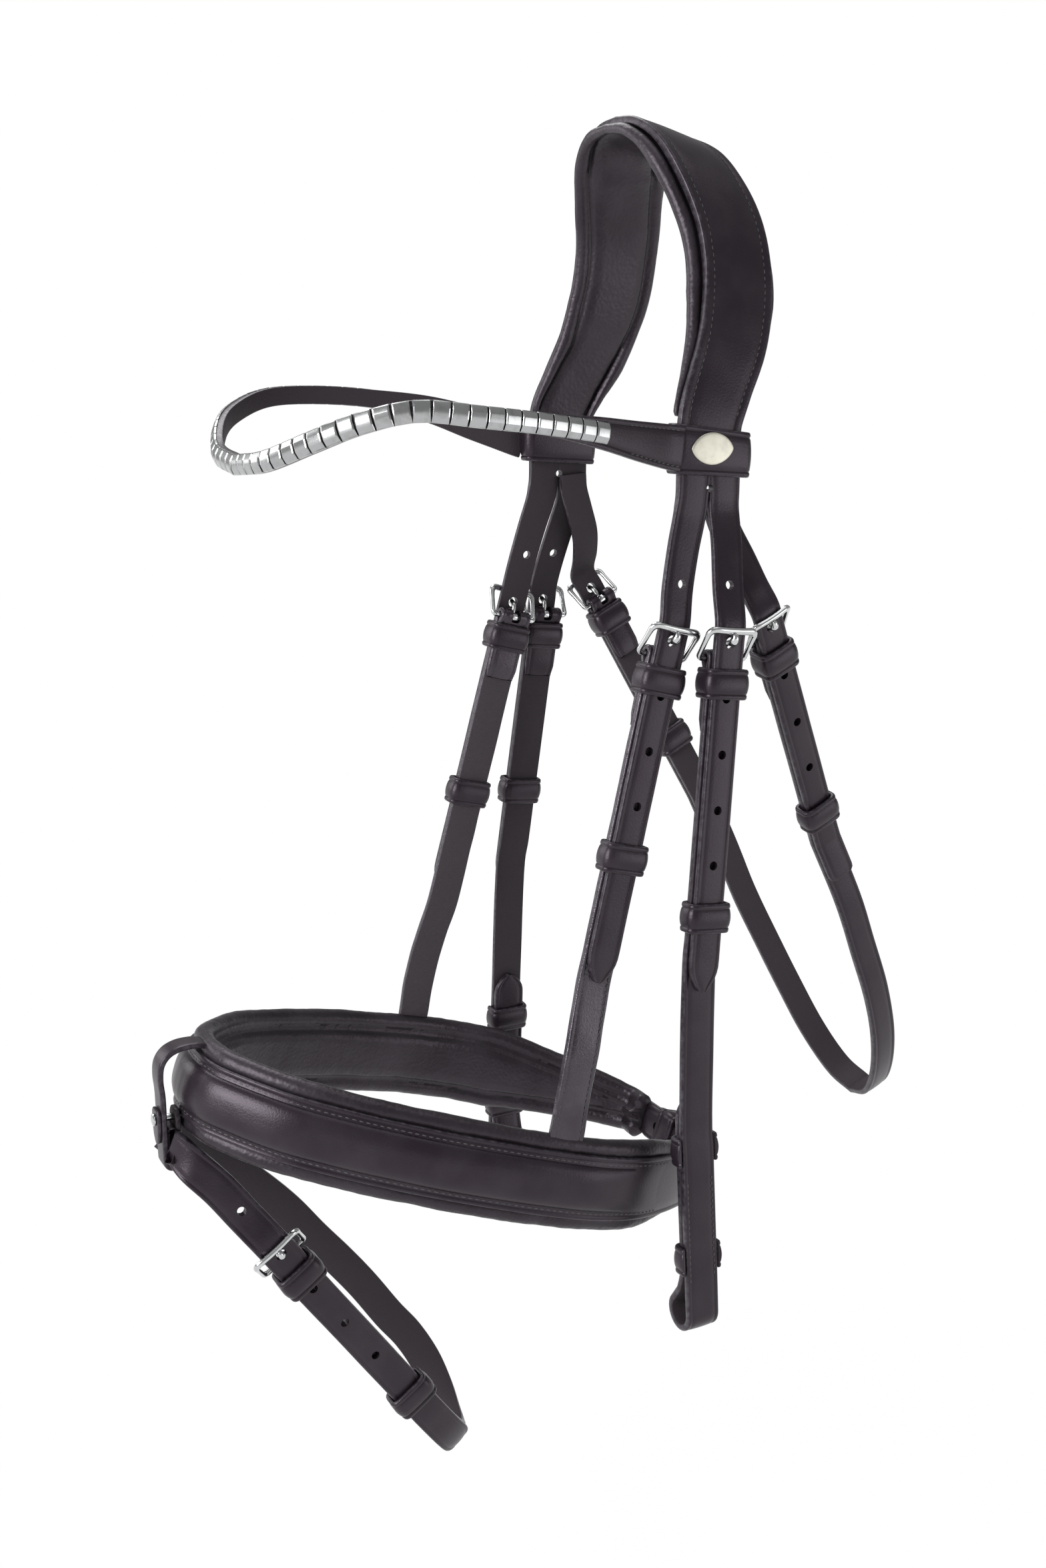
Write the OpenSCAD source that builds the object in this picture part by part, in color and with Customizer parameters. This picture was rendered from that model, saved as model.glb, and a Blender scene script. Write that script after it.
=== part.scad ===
// Snaffle bridle: anatomic headpiece, browband, cheekpieces, padded noseband
// with a flash strap, and throatlash.
// X points to the horse's left (near side), Y to its tail and Z up. The origin
// is under the middle of the crown, where the headpiece rests on the poll.
// Every strap is a flat ribbon swept along a route, as leather is cut.

/* [Leather] */
// Thickness of a body strap
strap_t = 3; // [2.4:0.1:3.6]
// Thickness of a punched billet
billet_t = 2.6; // [2:0.1:3]
// Thickness of the leather turned round a buckle bar
chape_t = 2; // [1.6:0.1:2.4]
// Thickness of the keepers and runners
keeper_t = 2.5; // [1.8:0.1:3]
// Width of the leather punched for a hole
hole_d = 3.8; // [3:0.1:4.2]
// Distance between the holes of the throat, flash and rear straps
hole_pitch = 25; // [20:1:30]
// Distance between the holes of the cheek and hanger billets
billet_pitch = 23; // [20:1:26]

/* [Strap widths] */
// Width of the cheekpieces
cheek_w = 15.5; // [14:0.5:17]
// Width of the noseband hangers
hanger_w = 15.5; // [14:0.5:17]
// Width of the billets on the headpiece
billet_w = 14; // [12:0.5:14.5]
// Width of the throatlash
throat_w = 13.5; // [11:0.5:14]
// Width of the flash strap
flash_w = 15; // [12:0.5:16]

/* [Headpiece] */
// Width of the crown leather at its widest
crown_w = 32; // [29:1:36]
// Width of each headpiece leg inside the browband loop
leg_w = 29.5; // [28:0.5:30]
// Thickness of the crown leather
crown_t = 3.4; // [3:0.1:4]
// How far the padding stands out past each edge of the crown leather
crown_roll = 4.5; // [2:0.5:6]
// Thickness of the crown padding
crown_pad_t = 7; // [5:0.5:9]

/* [Browband] */
// Height of the browband along the clincher
brow_h = 8; // [7:0.5:10]
// Height of the browband loops
loop_h = 20; // [17:0.5:21]
// Thickness of the browband leather
brow_t = 3; // [2.4:0.1:3.6]
// Thickness of the metal clincher over the leather
clincher_t = 1.8; // [1.2:0.1:2.4]
// Length of the badge on each loop
badge_l = 20; // [12:0.5:22]
// Height of the badge on each loop
badge_h = 13; // [8:0.5:14]

/* [Noseband] */
// Height of the noseband leather
nose_h = 28; // [24:0.5:32]
// Height of the raised panel on the noseband leather
panel_h = 20; // [14:0.5:21]
// Thickness of the raised panel
panel_t = 2.5; // [1.5:0.1:3.5]
// Height of the noseband padding
nose_pad_h = 40; // [34:0.5:44]
// Thickness of the noseband padding
nose_pad_t = 9; // [6:0.5:11]
// Width of the strap that closes the noseband at the rear
rear_w = 16; // [14:0.5:17]

/* [Hardware] */
// Radius of the buckle wire
wire_r = 1.2; // [1:0.05:1.4]
// Radius of the prong wire
prong_r = 1.1; // [0.8:0.05:1.2]
// Clear width inside a buckle
buckle_w = 20; // [18.5:0.5:22]
// Length of a keeper or runner along its strap
keeper_l = 12.5; // [10:0.5:14]
// Inner radius of the loop that holds the bit ring
bit_loop_r = 5.5; // [4.5:0.5:7]

/* [Hidden] */

LEATHER = "#1d1a1c";
LINING = "#2a2729";
STEEL = "#c9ccd0";
BADGE = "#d8d2b8";

// Gap between two layers of one strap, and round what is held still
layer_gap = 0.25;
// Gap round a runner, and between parts that move past each other
slide_gap = 0.4;
// Radial clearance of a prong's eye on its bar
bar_fit = 0.05;
// Gap at a line where the leather flexes
flex_gap = 1.1;
// Points along each stretch of a smooth route
steps = 4;

// ---- Vectors, routes and seats ----

function unit(v) = v / norm(v);
function mix(a, b, t) = a + (b - a) * t;
function xyz(p) = [p[0], p[1], p[2]];

// The knot before the first or after the last goes straight on.
function knot(p, i) =
    i < 0 ? 2 * p[0] - p[1]
    : i >= len(p) ? 2 * p[len(p) - 1] - p[len(p) - 2]
    : p[i];

function catmull(a, b, c, d, t) =
    0.5 * (2 * b + (c - a) * t + (2 * a - 5 * b + 4 * c - d) * t * t
        + (3 * b - a - 3 * c + d) * t * t * t);

// A smooth route through every knot, which may carry a width and a thickness.
function smooth(p, n = steps) = [
    for (i = [0:len(p) - 2], k = [0:n - 1])
        catmull(knot(p, i - 1), p[i], p[i + 1], knot(p, i + 2), k / n),
    p[len(p) - 1]
];

function mirrored(p) = [-p[0], for (i = [1:len(p) - 1]) p[i]];
function reversed(p) = [for (i = [len(p) - 1:-1:0]) p[i]];

// Every route point becomes [x, y, z, width, thickness].
function sized(p, w, t) = [for (q = p) [q[0], q[1], q[2], w, t]];

// A route moved outward by one lift.
function moved(p, sides, lift) = [
    for (i = [0:len(p) - 1])
        let (t = heading(p, i), w = square_to(side_at(sides, i), t),
            c = xyz(p[i]) + lift * cross(t, w))
        [c[0], c[1], c[2], p[i][3], p[i][4]]
];

function side_at(sides, i) = is_list(sides[0]) ? sides[i] : sides;

function heading(p, i) =
    unit(xyz(p[min(i + 1, len(p) - 1)]) - xyz(p[max(i - 1, 0)]));

function square_to(side, t) = unit(side - (side * t) * t);

// A seat is [origin, down the strap, across it, outward from the horse].
function seat(origin, toward, side) =
    let (u = unit(toward - origin), v = square_to(side, u))
    [origin, u, v, cross(u, v)];

// The place u along, v across and n outward from a seat.
function at(s, u, n, v = 0) = s[0] + u * s[1] + v * s[2] + n * s[3];

// The same place as a ribbon point with a width and a thickness.
function leaf(s, u, n, w, t) = [each at(s, u, n), w, t];

// Children drawn with X down the strap, Y across and Z outward land on it.
module on(s) {
    multmatrix([
        [s[1][0], s[2][0], s[3][0], s[0][0]],
        [s[1][1], s[2][1], s[3][1], s[0][1]],
        [s[1][2], s[2][2], s[3][2], s[0][2]],
        [0, 0, 0, 1]
    ]) children();
}

// ---- Leather ----

// The corners of a ribbon at one route point, offset outward by lift.
function ring(p, i, side, lift) =
    let (t = heading(p, i), w = square_to(side, t), n = cross(t, w),
        c = xyz(p[i]) + lift * n, a = p[i][3] / 2 * w, b = p[i][4] / 2 * n)
    [c - a - b, c + a - b, c + a + b, c - a + b];

// A flat strap along a route of [x, y, z, width, thickness] points. Sides is
// one vector, or one for each point, near the direction of the strap's width.
module ribbon(p, sides, lift = 0) {
    last = len(p) - 1;
    points = [
        for (i = [0:last])
            each ring(p, i, side_at(sides, i), is_list(lift) ? lift[i] : lift)
    ];
    skin = [
        for (i = [0:last - 1], j = [0:3])
            let (a = 4 * i + j, b = 4 * i + (j + 1) % 4)
            each (j == 2 ? [[a, a + 4, b], [b, a + 4, b + 4]]
                : [[a, a + 4, b + 4], [a, b + 4, b]])
    ];
    end = 4 * last;
    polyhedron(points, [[0, 1, 2], [0, 2, 3], each skin,
        [end + 3, end + 2, end + 1], [end + 3, end + 1, end]], convexity = 8);
}

// Punched holes at distances down a seat, as twelve-sided prisms.
module punches(s, list, d = hole_d) {
    on(s) for (u = list)
        translate([u, 0, -strap_t]) cylinder(d = d, h = billet_t + 6, $fn = 12);
}

// A ring of leather round one or more layers, from floor to roof.
module band(u, w, floor, roof, gap, t = keeper_t, l = keeper_l) {
    difference() {
        translate([u, -w / 2 - gap - t, floor - gap - t])
            cube([l, w + 2 * (gap + t), roof - floor + 2 * (gap + t)]);
        translate([u - 1, -w / 2 - gap, floor - gap])
            cube([l + 2, w + 2 * gap, roof - floor + 2 * gap]);
    }
}

// ---- Buckles, drawn on a seat whose origin is the prong's hole ----

roof_n = layer_gap + billet_t;
bar_u = 7;
bar_gap = 0.35;
fold_r = wire_r + bar_gap + chape_t / 2;
bar_n = -chape_t / 2 - fold_r;
top_u = -5;
top_n = roof_n + 0.25 + wire_r;
eye_r = wire_r + 1;
eye_w = 3.2;
turn_u = bar_u + 3.5;
keeper_u = turn_u + 0.3;
prong_hole_u = 0.3;
prong_hole_d = 4.8;
chape_l = 30;

// A rod from a to b that runs past each end by a little.
module rod(a, b, r, past = 0) {
    d = b - a;
    translate(a - past * unit(d))
        rotate([0, acos(d[2] / norm(d)), atan2(d[1], d[0])])
            cylinder(r = r, h = norm(d) + 2 * past, $fn = 32);
}

module buckle_frame(clear = buckle_w) {
    side_r = 0.88 * wire_r;
    half = clear / 2 + side_r;
    corners = [
        [bar_u, -half, bar_n], [bar_u, half, bar_n],
        [top_u, half, top_n], [top_u, -half, top_n]
    ];
    for (i = [0, 2]) rod(corners[i], corners[i + 1], wire_r, side_r + 0.2);
    for (i = [1, 3]) rod(corners[i], corners[(i + 1) % 4], side_r, 0.5 * wire_r);
}

// The prong leaves its eye under the billet, rises through the hole and stops
// against the top bar.
module buckle_prong() {
    reach = wire_r + prong_r + 0.1;
    path = [
        [bar_u - 0.6 * eye_r, 0, bar_n + 0.55 * eye_r], [prong_hole_u + 0.5, 0, -0.6],
        [top_u + 4.3, 0, top_n + 1.3], [top_u + 0.82 * reach, 0, top_n + 0.6 * reach]
    ];
    difference() {
        translate([bar_u, -eye_w / 2, bar_n]) rotate([-90, 0, 0])
            cylinder(r = eye_r, h = eye_w, $fn = 32);
        translate([bar_u, -eye_w, bar_n]) rotate([-90, 0, 0])
            cylinder(r = wire_r + bar_fit, h = 2 * eye_w, $fn = 32);
    }
    rod(path[0], path[1] + 0.5 * prong_r * unit(path[1] - path[0]), prong_r);
    rod(path[1], path[2], prong_r, 0.35 * prong_r);
    rod(path[2] - 0.5 * prong_r * unit(path[3] - path[2]), path[3], prong_r);
}

// Ribbon points of the leather turned round the bar, from the back layer's
// end to the front layer where the full strap thickness starts.
function chape(s, w) =
    let (back = -strap_t - 0.15 - chape_t / 2)
    [
        leaf(s, bar_u + chape_l, back, w, chape_t),
        leaf(s, turn_u, back, w, chape_t),
        for (k = [0:8])
            let (a = 22.5 * k - 90)
            leaf(s, bar_u - fold_r * cos(a), bar_n + fold_r * sin(a), w, chape_t),
        leaf(s, bar_u + 0.8, -chape_t / 2, w, chape_t),
        leaf(s, turn_u, -strap_t / 2, w, strap_t)
    ];

// The leather turned round the bar keeps to its seat's own side.
chape_n = 13;
function turned(s, route, sides) = [
    for (i = [0:len(route) - 1]) i < chape_n ? s[2] : side_at(sides, i)
];

// The opening in the fold that lets the prong's eye on to the bar.
module prong_slot(s) {
    on(s) translate([bar_u - fold_r - 2, -eye_w / 2 - 0.5, bar_n - fold_r - 2])
        cube([fold_r + 2 + eye_r + 0.6, eye_w + 1, fold_r + 2 - bar_n + 1]);
}

// A billet's middle line over the strap, from above the buckle to its tip.
billet_n = layer_gap + billet_t / 2;
function billet_run(s, length, w) = [
    leaf(s, -8, billet_n, w, billet_t),
    leaf(s, length - 10, billet_n, w, billet_t),
    leaf(s, length - 3, billet_n, w * 0.8, billet_t),
    leaf(s, length, billet_n, w * 0.35, billet_t)
];

// The pointed end of a route whose last few points carry less width.
function pointed(p) = [
    for (i = [0:len(p) - 1])
        [p[i][0], p[i][1], p[i][2],
            p[i][3] * [1, 0.92, 0.75, 0.4][max(0, i - len(p) + 4)], billet_t]
];

module fixed_keeper(w) {
    band(keeper_u, w, -strap_t - 0.15 - chape_t, roof_n, layer_gap);
}

module runner(u, w) {
    band(u - keeper_l / 2, w, -strap_t, roof_n, slide_gap);
}

module steel() { color(STEEL) children(); }
module leather() { color(LEATHER) children(); }

// Draws the near side as it is and the off side as its mirror image.
module side_of(near) {
    if (near) children();
    else mirror([1, 0, 0]) children();
}

// ---- Headpiece ----

// Middle of the crown leather from the poll down the near leg:
// [x, y, z, width]. The crown is cut back behind the ear.
leg_x = 62;
leg_y = -1;
leg_bottom = -139;
crown_half = [
    [0, 4.5, 3.6, crown_w - 2], [14, 5.5, 1.8, crown_w - 1], [27, 9, -5.5, crown_w],
    [37.5, 13.8, -19, crown_w], [46, 17.8, -37, crown_w], [52, 17.8, -58, crown_w],
    [57.2, 12.8, -80, crown_w - 0.5], [60.2, 5, -98, leg_w + 0.4],
    [leg_x, leg_y + 0.5, -112, leg_w], [leg_x, leg_y, -126, leg_w],
    [leg_x, leg_y, leg_bottom, leg_w]
];
crown_near = smooth([for (p = crown_half) [p[0], p[1], p[2], p[3], crown_t]]);
crown_route = [
    for (i = [len(crown_near) - 1:-1:1]) mirrored(crown_near[i]),
    each crown_near
];
// The front edge stands higher than the rear one over the poll.
crown_sides = [for (p = crown_route) [0, 1, -0.25 * max(0, 1 + p[2] / 60)]];
brow_z = -124.5;
pad_end_z = brow_z + loop_h / 2 + 1;
pad_gap = 0.6;
// The padding is thinnest over the poll, and its underside there is the origin.
// It thins out again above the browband loops, and is cut off straight there.
poll_pad_t = 3;
function pad_thick(p) =
    mix(crown_pad_t, poll_pad_t, max(0, 1 + (p[2] - 3.6) / 12))
    * min(1, 0.4 + (p[2] - pad_end_z) / 80);
pad_route = [
    for (p = crown_route) if (p[2] > pad_end_z)
        [p[0], p[1], p[2], p[3] + 2 * crown_roll
            * min(1, (p[2] - pad_end_z + 8) / 58), pad_thick(p)]
];
pad_sides = [for (p = pad_route) [0, 1, -0.25 * max(0, 1 + p[2] / 60)]];
pad_lift = [for (p = pad_route) -p[4] / 2 - pad_gap];

module headpiece_leather() {
    leather() difference() {
        ribbon(crown_route, crown_sides, crown_t / 2);
        for (s = [-1, 1])
            translate([s * leg_x, leg_y, leg_bottom]) rotate([0, 90, 0])
                cylinder(d = 5, h = 20, center = true, $fn = 12);
    }
}

module headpiece_padding() {
    color(LINING) difference() {
        ribbon(pad_route, pad_sides, pad_lift);
        translate([-leg_x - 20, -crown_w, leg_bottom])
            cube([2 * leg_x + 40, 2 * crown_w, pad_end_z - 0.4 - leg_bottom]);
    }
}

// ---- Browband ----

// Middle of the browband's inner face from the forehead to a loop, and how far
// the near side hangs below it and the off side stands above it.
leg_out = leg_x + crown_t + slide_gap;
brow_half = [
    [0, -176, -128.5, 0], [28, -174, -125.5, 0.5], [52, -165, -117, 1.5],
    [68, -153, -110.3, 1.2], [79, -136, -105.5, 1.6], [83, -114, -106, 3.2],
    [81.5, -88, -108.2, 3.8], [77, -62, -112.3, 3.2], [71.5, -40, -117.7, 1.7],
    [leg_out + 1.6, -25, -121.2, 0.6], [leg_out + 0.5, leg_y - 16, brow_z + 1, 0]
];

function brow_height(i) =
    i < 7 ? brow_h : i == 7 ? brow_h + 3 : i == 8 ? brow_h + 7 : loop_h - 3;

function brow_side(s) = smooth([
    for (i = [0:len(brow_half) - 1])
        let (p = brow_half[i])
        [s * p[0], p[1], p[2] - s * p[3], brow_height(i), brow_t]
]);
brow_off = brow_side(-1);
brow_route = [
    for (i = [len(brow_off) - 1:-1:1]) brow_off[i],
    each brow_side(1)
];
clincher_end_y = -58;
clincher_route = [
    for (p = brow_route) if (p[1] < clincher_end_y)
        [p[0], p[1], p[2], min(p[3], brow_h), clincher_t]
];

// The loop that wraps round one headpiece leg.
module brow_loop() {
    back = leg_x - slide_gap;
    w = leg_w + 2 * slide_gap;
    translate([0, leg_y, brow_z - loop_h / 2]) difference() {
        translate([back - brow_t, -w / 2 - brow_t, 0])
            cube([leg_out - back + 2 * brow_t, w + 2 * brow_t, loop_h]);
        translate([back, -w / 2, -1]) cube([leg_out - back, w, loop_h + 2]);
    }
}

module browband() {
    leather() {
        ribbon(brow_route, [0, 0, 1], brow_t / 2);
        for (s = [0, 1]) side_of(s == 0) brow_loop();
    }
}

module browband_clincher() {
    steel() ribbon(clincher_route, [0, 0, 1], brow_t + 0.1 + clincher_t / 2);
}

// An oval plate with pointed ends.
module badge(near) {
    bulge = (badge_l * badge_l + badge_h * badge_h) / (4 * badge_h);
    color(BADGE) side_of(near) intersection_for (s = [-1, 1])
        translate([leg_out + brow_t + 0.1, leg_y - 2, brow_z + 1.5 + s * (bulge - badge_h / 2)])
            rotate([0, 90, 0]) cylinder(r = bulge, h = 1.4, $fn = 96);
}

// ---- Cheekpieces ----

billet_root_z = leg_bottom - flex_gap;
cheek_seat = seat([79, 0, -200], [88.5, -15.5, -345], [0, 1, 0]);
loop_seat = seat([90.5, -16, -400], [97.5, -15, -487], [0, 1, 0]);
cheek_tip_l = 146;
// The runners stand where they were last pushed, the off one higher.
function cheek_runner_u(near) = near ? 114 : 96;
billet_x = leg_x + crown_t / 2;
cheek_billet_route = [
    [billet_x, leg_y + 7.5, billet_root_z, billet_w + 0.4, billet_t],
    [billet_x + 0.3, leg_y + 7.4, -147, billet_w + 0.2, billet_t],
    [66, 6.3, -153, billet_w, billet_t],
    [69.5, 5, -162, billet_w, billet_t],
    [75.5, 2.3, -179, billet_w, billet_t],
    each billet_run(cheek_seat, cheek_tip_l, billet_w)
];
// The bit loop hangs from the lower end of the strap and its return runs back
// up inside it to the hook stud.
loop_u = 90;
loop_c = bit_loop_r + strap_t / 2 - 0.15;
return_n = -1.5 * strap_t - 0.2;
return_l = 99;
cheek_route = [
    each chape(cheek_seat, cheek_w),
    leaf(cheek_seat, 140, -strap_t / 2, cheek_w, strap_t),
    leaf(loop_seat, 0, -strap_t / 2, cheek_w, strap_t),
    for (k = [0:10])
        let (a = 90 - 21 * k)
        leaf(loop_seat, loop_u + loop_c * cos(a),
            -strap_t / 2 - loop_c + loop_c * sin(a), cheek_w, strap_t),
    leaf(loop_seat, loop_u - 11, (return_n - strap_t / 2 - loop_c) / 2 - 1.4,
        cheek_w, strap_t),
    leaf(loop_seat, loop_u - 19, return_n, cheek_w, strap_t),
    leaf(loop_seat, loop_u - return_l + 8, return_n, cheek_w, strap_t),
    leaf(loop_seat, loop_u - return_l + 2, return_n, cheek_w * 0.8, strap_t),
    leaf(loop_seat, loop_u - return_l, return_n, cheek_w * 0.4, strap_t)
];
return_keepers = [loop_u - 81, loop_u - 32];
stud_u = loop_u - 50;
stud_r = 1.5;

module cheek_strap(near) {
    leather() side_of(near) difference() {
        ribbon(cheek_route, turned(cheek_seat, cheek_route, [0, 1, 0]));
        prong_slot(cheek_seat);
        on(loop_seat) {
            translate([loop_u, 0, -strap_t / 2 - loop_c]) rotate([90, 0, 0])
                cylinder(r = bit_loop_r, h = 2 * cheek_w, center = true, $fn = 48);
            translate([stud_u, 0, return_n - strap_t])
                cylinder(r = stud_r + 0.1, h = 2 * strap_t - 1, $fn = 24);
        }
    }
}

module cheek_billet(near) {
    leather() side_of(near) difference() {
        ribbon(cheek_billet_route, [0, 1, 0]);
        punches(cheek_seat, [-billet_pitch, for (k = [1:4]) k * billet_pitch]);
        punches(cheek_seat, [prong_hole_u], prong_hole_d);
    }
}

// A keeper that goes round the back of the return and up to the strap's edges.
module return_keeper(u) {
    difference() {
        band(u, cheek_w, return_n - strap_t / 2, 0, layer_gap);
        translate([u - 1, -cheek_w, -1]) cube([keeper_l + 2, 2 * cheek_w, 9]);
    }
}

module cheek_keepers(near) {
    leather() side_of(near) {
        on(cheek_seat) fixed_keeper(max(cheek_w, billet_w));
        on(loop_seat) for (u = return_keepers) return_keeper(u);
    }
}

module cheek_runner(near) {
    leather() side_of(near) on(cheek_seat)
        runner(cheek_runner_u(near), max(cheek_w, billet_w));
}

// A post through the return with a round head on the horse's side.
module hook_stud(near) {
    steel() side_of(near) on(loop_seat) {
        translate([stud_u, 0, return_n - strap_t / 2 - 1.6])
            cylinder(r = stud_r, h = strap_t + 1.7, $fn = 24);
        translate([stud_u, 0, return_n - strap_t / 2 - 1.6])
            cylinder(r = stud_r + 1.2, h = 1.4, $fn = 24);
    }
}

// ---- Noseband ----

// Middle line of the noseband seen from above, near side, rear to front.
nose_slope = -0.31;
nose_level = -445;
rear_y = 29.5;
function nose_z(y) = nose_level + nose_slope * y;
nose_half = [
    [34, 29], [47, 17], [57.5, 3], [70.5, -17], [80, -37], [84, -60], [82.8, -81],
    [79.4, -101], [74.2, -122], [67, -143], [58, -164], [45, -185], [23, -204],
    [10, -209], [0, -210]
];
nose_up = [0, 0.31, 0.95];
nose_near = smooth([
    for (q = nose_half) [q[0], q[1], nose_z(q[1]), nose_h, strap_t]
], 3);
nose_ring = [
    for (i = [0:len(nose_near) - 2]) mirrored(nose_near[i]),
    for (i = [len(nose_near) - 1:-1:0]) nose_near[i]
];

// Leather and padding taper towards the rear; the panel stops short of it.
function nose_width(y) = mix(nose_h, rear_w, min(1, max(0, (y - 5) / 22)));
leather_ring = moved([
    for (p = nose_ring) [p[0], p[1], p[2], nose_width(p[1]), strap_t]
], nose_up, -strap_t / 2);
panel_route = [
    for (p = nose_ring) if (p[1] < -28)
        [p[0], p[1], p[2], min(panel_h, nose_h - 6), panel_t]
];
// The padding goes round the off side's rear and stops short of the near end.
pad_off_x = -21;
function nose_pad(p) =
    [p[0], p[1], p[2], nose_pad_h - 18 * max(0, (p[1] + 30) / 59), nose_pad_t];
nose_pad_route = [
    nose_pad([pad_off_x, rear_y - 0.2, nose_z(rear_y - 0.2)]),
    for (p = nose_ring) if (p[0] < 0 || p[1] < 26) nose_pad(p)
];
pad_n = -strap_t - 0.1;

// The off end carries the buckle and the near end is its billet.
rear_seat = seat([18, rear_y, nose_z(rear_y)], [-18, rear_y, nose_z(rear_y)], nose_up);
rear_tip_l = 42;
nose_leather_route = [
    each chape(rear_seat, rear_w),
    for (i = [0:len(leather_ring) - 2]) leather_ring[i],
    leaf(rear_seat, -12, billet_n, rear_w, billet_t),
    each billet_run(rear_seat, rear_tip_l, rear_w)
];

// Where a hanger's end goes down between the leather and the padding.
tuck_seat = seat([82.9, -79.5, nose_z(-79.5)], [82.9, -79.5, nose_z(-79.5)] - nose_up,
    [0.1, 1, -0.31]);
tuck_n = -strap_t - 0.1 - strap_t / 2;
tuck_l = nose_h / 2 - 5;

module noseband_leather() {
    leather() difference() {
        ribbon(nose_leather_route, nose_up);
        prong_slot(rear_seat);
        punches(rear_seat, [hole_pitch]);
        punches(rear_seat, [prong_hole_u], prong_hole_d);
    }
}

module noseband_panel() {
    leather() ribbon(panel_route, nose_up, 0.1 + panel_t / 2);
}

// The padding is notched for the hangers and for the flash loop.
module noseband_padding() {
    deep = strap_t + 0.6;
    color(LINING) difference() {
        ribbon(nose_pad_route, nose_up, pad_n - nose_pad_t / 2);
        for (s = [0, 1]) side_of(s == 0) on(tuck_seat)
            translate([-nose_pad_h / 2 - 2, -hanger_w / 2 - 0.5, pad_n - deep])
                cube([nose_pad_h / 2 + 2 - nose_h / 2 + 11, hanger_w + 1, 2 * deep]);
        on(front_seat)
            translate([-nose_pad_h / 2 - 2, -loop_w / 2 - 1, pad_n - deep])
                cube([nose_pad_h / 2 + 2 - nose_h / 2 + 1, loop_w + 2, 2 * deep]);
    }
}

module noseband_buckle() {
    steel() on(rear_seat) buckle_frame();
}

module noseband_prong() {
    steel() on(rear_seat) buckle_prong();
}

module noseband_keeper() {
    leather() on(rear_seat) fixed_keeper(rear_w);
}

// ---- Noseband hangers ----

hanger_seat = seat([69, -21.5, -199], [74.5, -59, -345], [0, 1, 0]);
hanger_tip_l = 144;
function hanger_runner_u(near) = near ? 91 : 94;
hanger_billet_route = [
    [billet_x, leg_y - 7.5, billet_root_z, billet_w + 0.4, billet_t],
    [billet_x, leg_y - 7.6, -147, billet_w + 0.2, billet_t],
    [64.5, -9.6, -153, billet_w, billet_t],
    [65.8, -12.9, -163, billet_w, billet_t],
    [68, -17.3, -179, billet_w, billet_t],
    each billet_run(hanger_seat, hanger_tip_l, billet_w)
];
hanger_route = [
    each chape(hanger_seat, hanger_w),
    leaf(hanger_seat, 148, -strap_t / 2, hanger_w, strap_t),
    [77, -65, -366, hanger_w, strap_t],
    [78.3, -69.8, -385, hanger_w, strap_t],
    leaf(tuck_seat, -nose_h / 2 - 6, tuck_n, hanger_w, strap_t),
    leaf(tuck_seat, -nose_h / 2, tuck_n, hanger_w, strap_t),
    leaf(tuck_seat, -nose_h / 2 + tuck_l, tuck_n, hanger_w, strap_t)
];
hanger_sides = [
    for (i = [0:len(hanger_route) - 1])
        i < len(hanger_route) - 3 ? [0, 1, 0] : [0.1, 1, -0.31]
];

module hanger_strap(near) {
    leather() side_of(near) difference() {
        ribbon(hanger_route, turned(hanger_seat, hanger_route, hanger_sides));
        prong_slot(hanger_seat);
    }
}

module hanger_billet(near) {
    leather() side_of(near) difference() {
        ribbon(hanger_billet_route, [0, 1, 0]);
        punches(hanger_seat, [-billet_pitch, for (k = [1:4]) k * billet_pitch]);
        punches(hanger_seat, [prong_hole_u], prong_hole_d);
    }
}

module hanger_keeper(near) {
    leather() side_of(near) on(hanger_seat) fixed_keeper(max(hanger_w, billet_w));
}

module hanger_runner(near) {
    leather() side_of(near) on(hanger_seat)
        runner(hanger_runner_u(near), max(hanger_w, billet_w));
}

// ---- Flash ----

// The loop comes over the top of the noseband, hangs in front of it and turns
// back behind the flash strap, where a stud closes it.
loop_w = 10;
loop_t = 2.2;
front_y = -210;
front_seat = seat([0, front_y, nose_z(front_y)],
    [0, front_y, nose_z(front_y)] - nose_up, [1, 0, 0]);
flash_mid_y = -218.4;
flash_mid_z = -405;
flash_turn_z = flash_mid_z - flash_w / 2;
flash_turn_r = strap_t / 2 + 0.3 + loop_t / 2;
stud_z = flash_mid_z + flash_w / 2 + 3.3;
flash_loop_half = [
    [0, -201.3, -366.6], [0, -201.7, -365.2], [0, -203.6, -363.9], [0, -207.5, -363.3],
    [0, -213, -363.6], [0, -218, -365.6], [0, -221.2, -369.8], [0, -222, -376]
];
flash_loop_route = sized([
    each flash_loop_half,
    [0, flash_mid_y - flash_turn_r - 0.1, -383],
    for (k = [0:6])
        [0, flash_mid_y - flash_turn_r * cos(30 * k),
            flash_turn_z - flash_turn_r * sin(30 * k)],
    [0, flash_mid_y + flash_turn_r, stud_z + 4]
], loop_w, loop_t);

module flash_loop() {
    leather() difference() {
        ribbon(flash_loop_route, [1, 0, 0]);
        translate([0, flash_mid_y, stud_z]) rotate([90, 0, 0])
            cylinder(r = 1.6, h = 12, center = true, $fn = 24);
    }
}

module flash_stud() {
    reach = flash_turn_r + loop_t / 2;
    steel() translate([0, flash_mid_y, stud_z]) rotate([90, 0, 0]) {
        translate([0, 0, -reach + 0.2]) cylinder(r = 1.4, h = 2 * reach + 0.4, $fn = 24);
        translate([0, 0, reach + 0.15]) cylinder(r = 2.8, h = 1.2, $fn = 32);
        translate([0, 0, reach + 1.35]) cylinder(r1 = 2.2, r2 = 1, h = 0.9, $fn = 32);
    }
}

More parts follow.
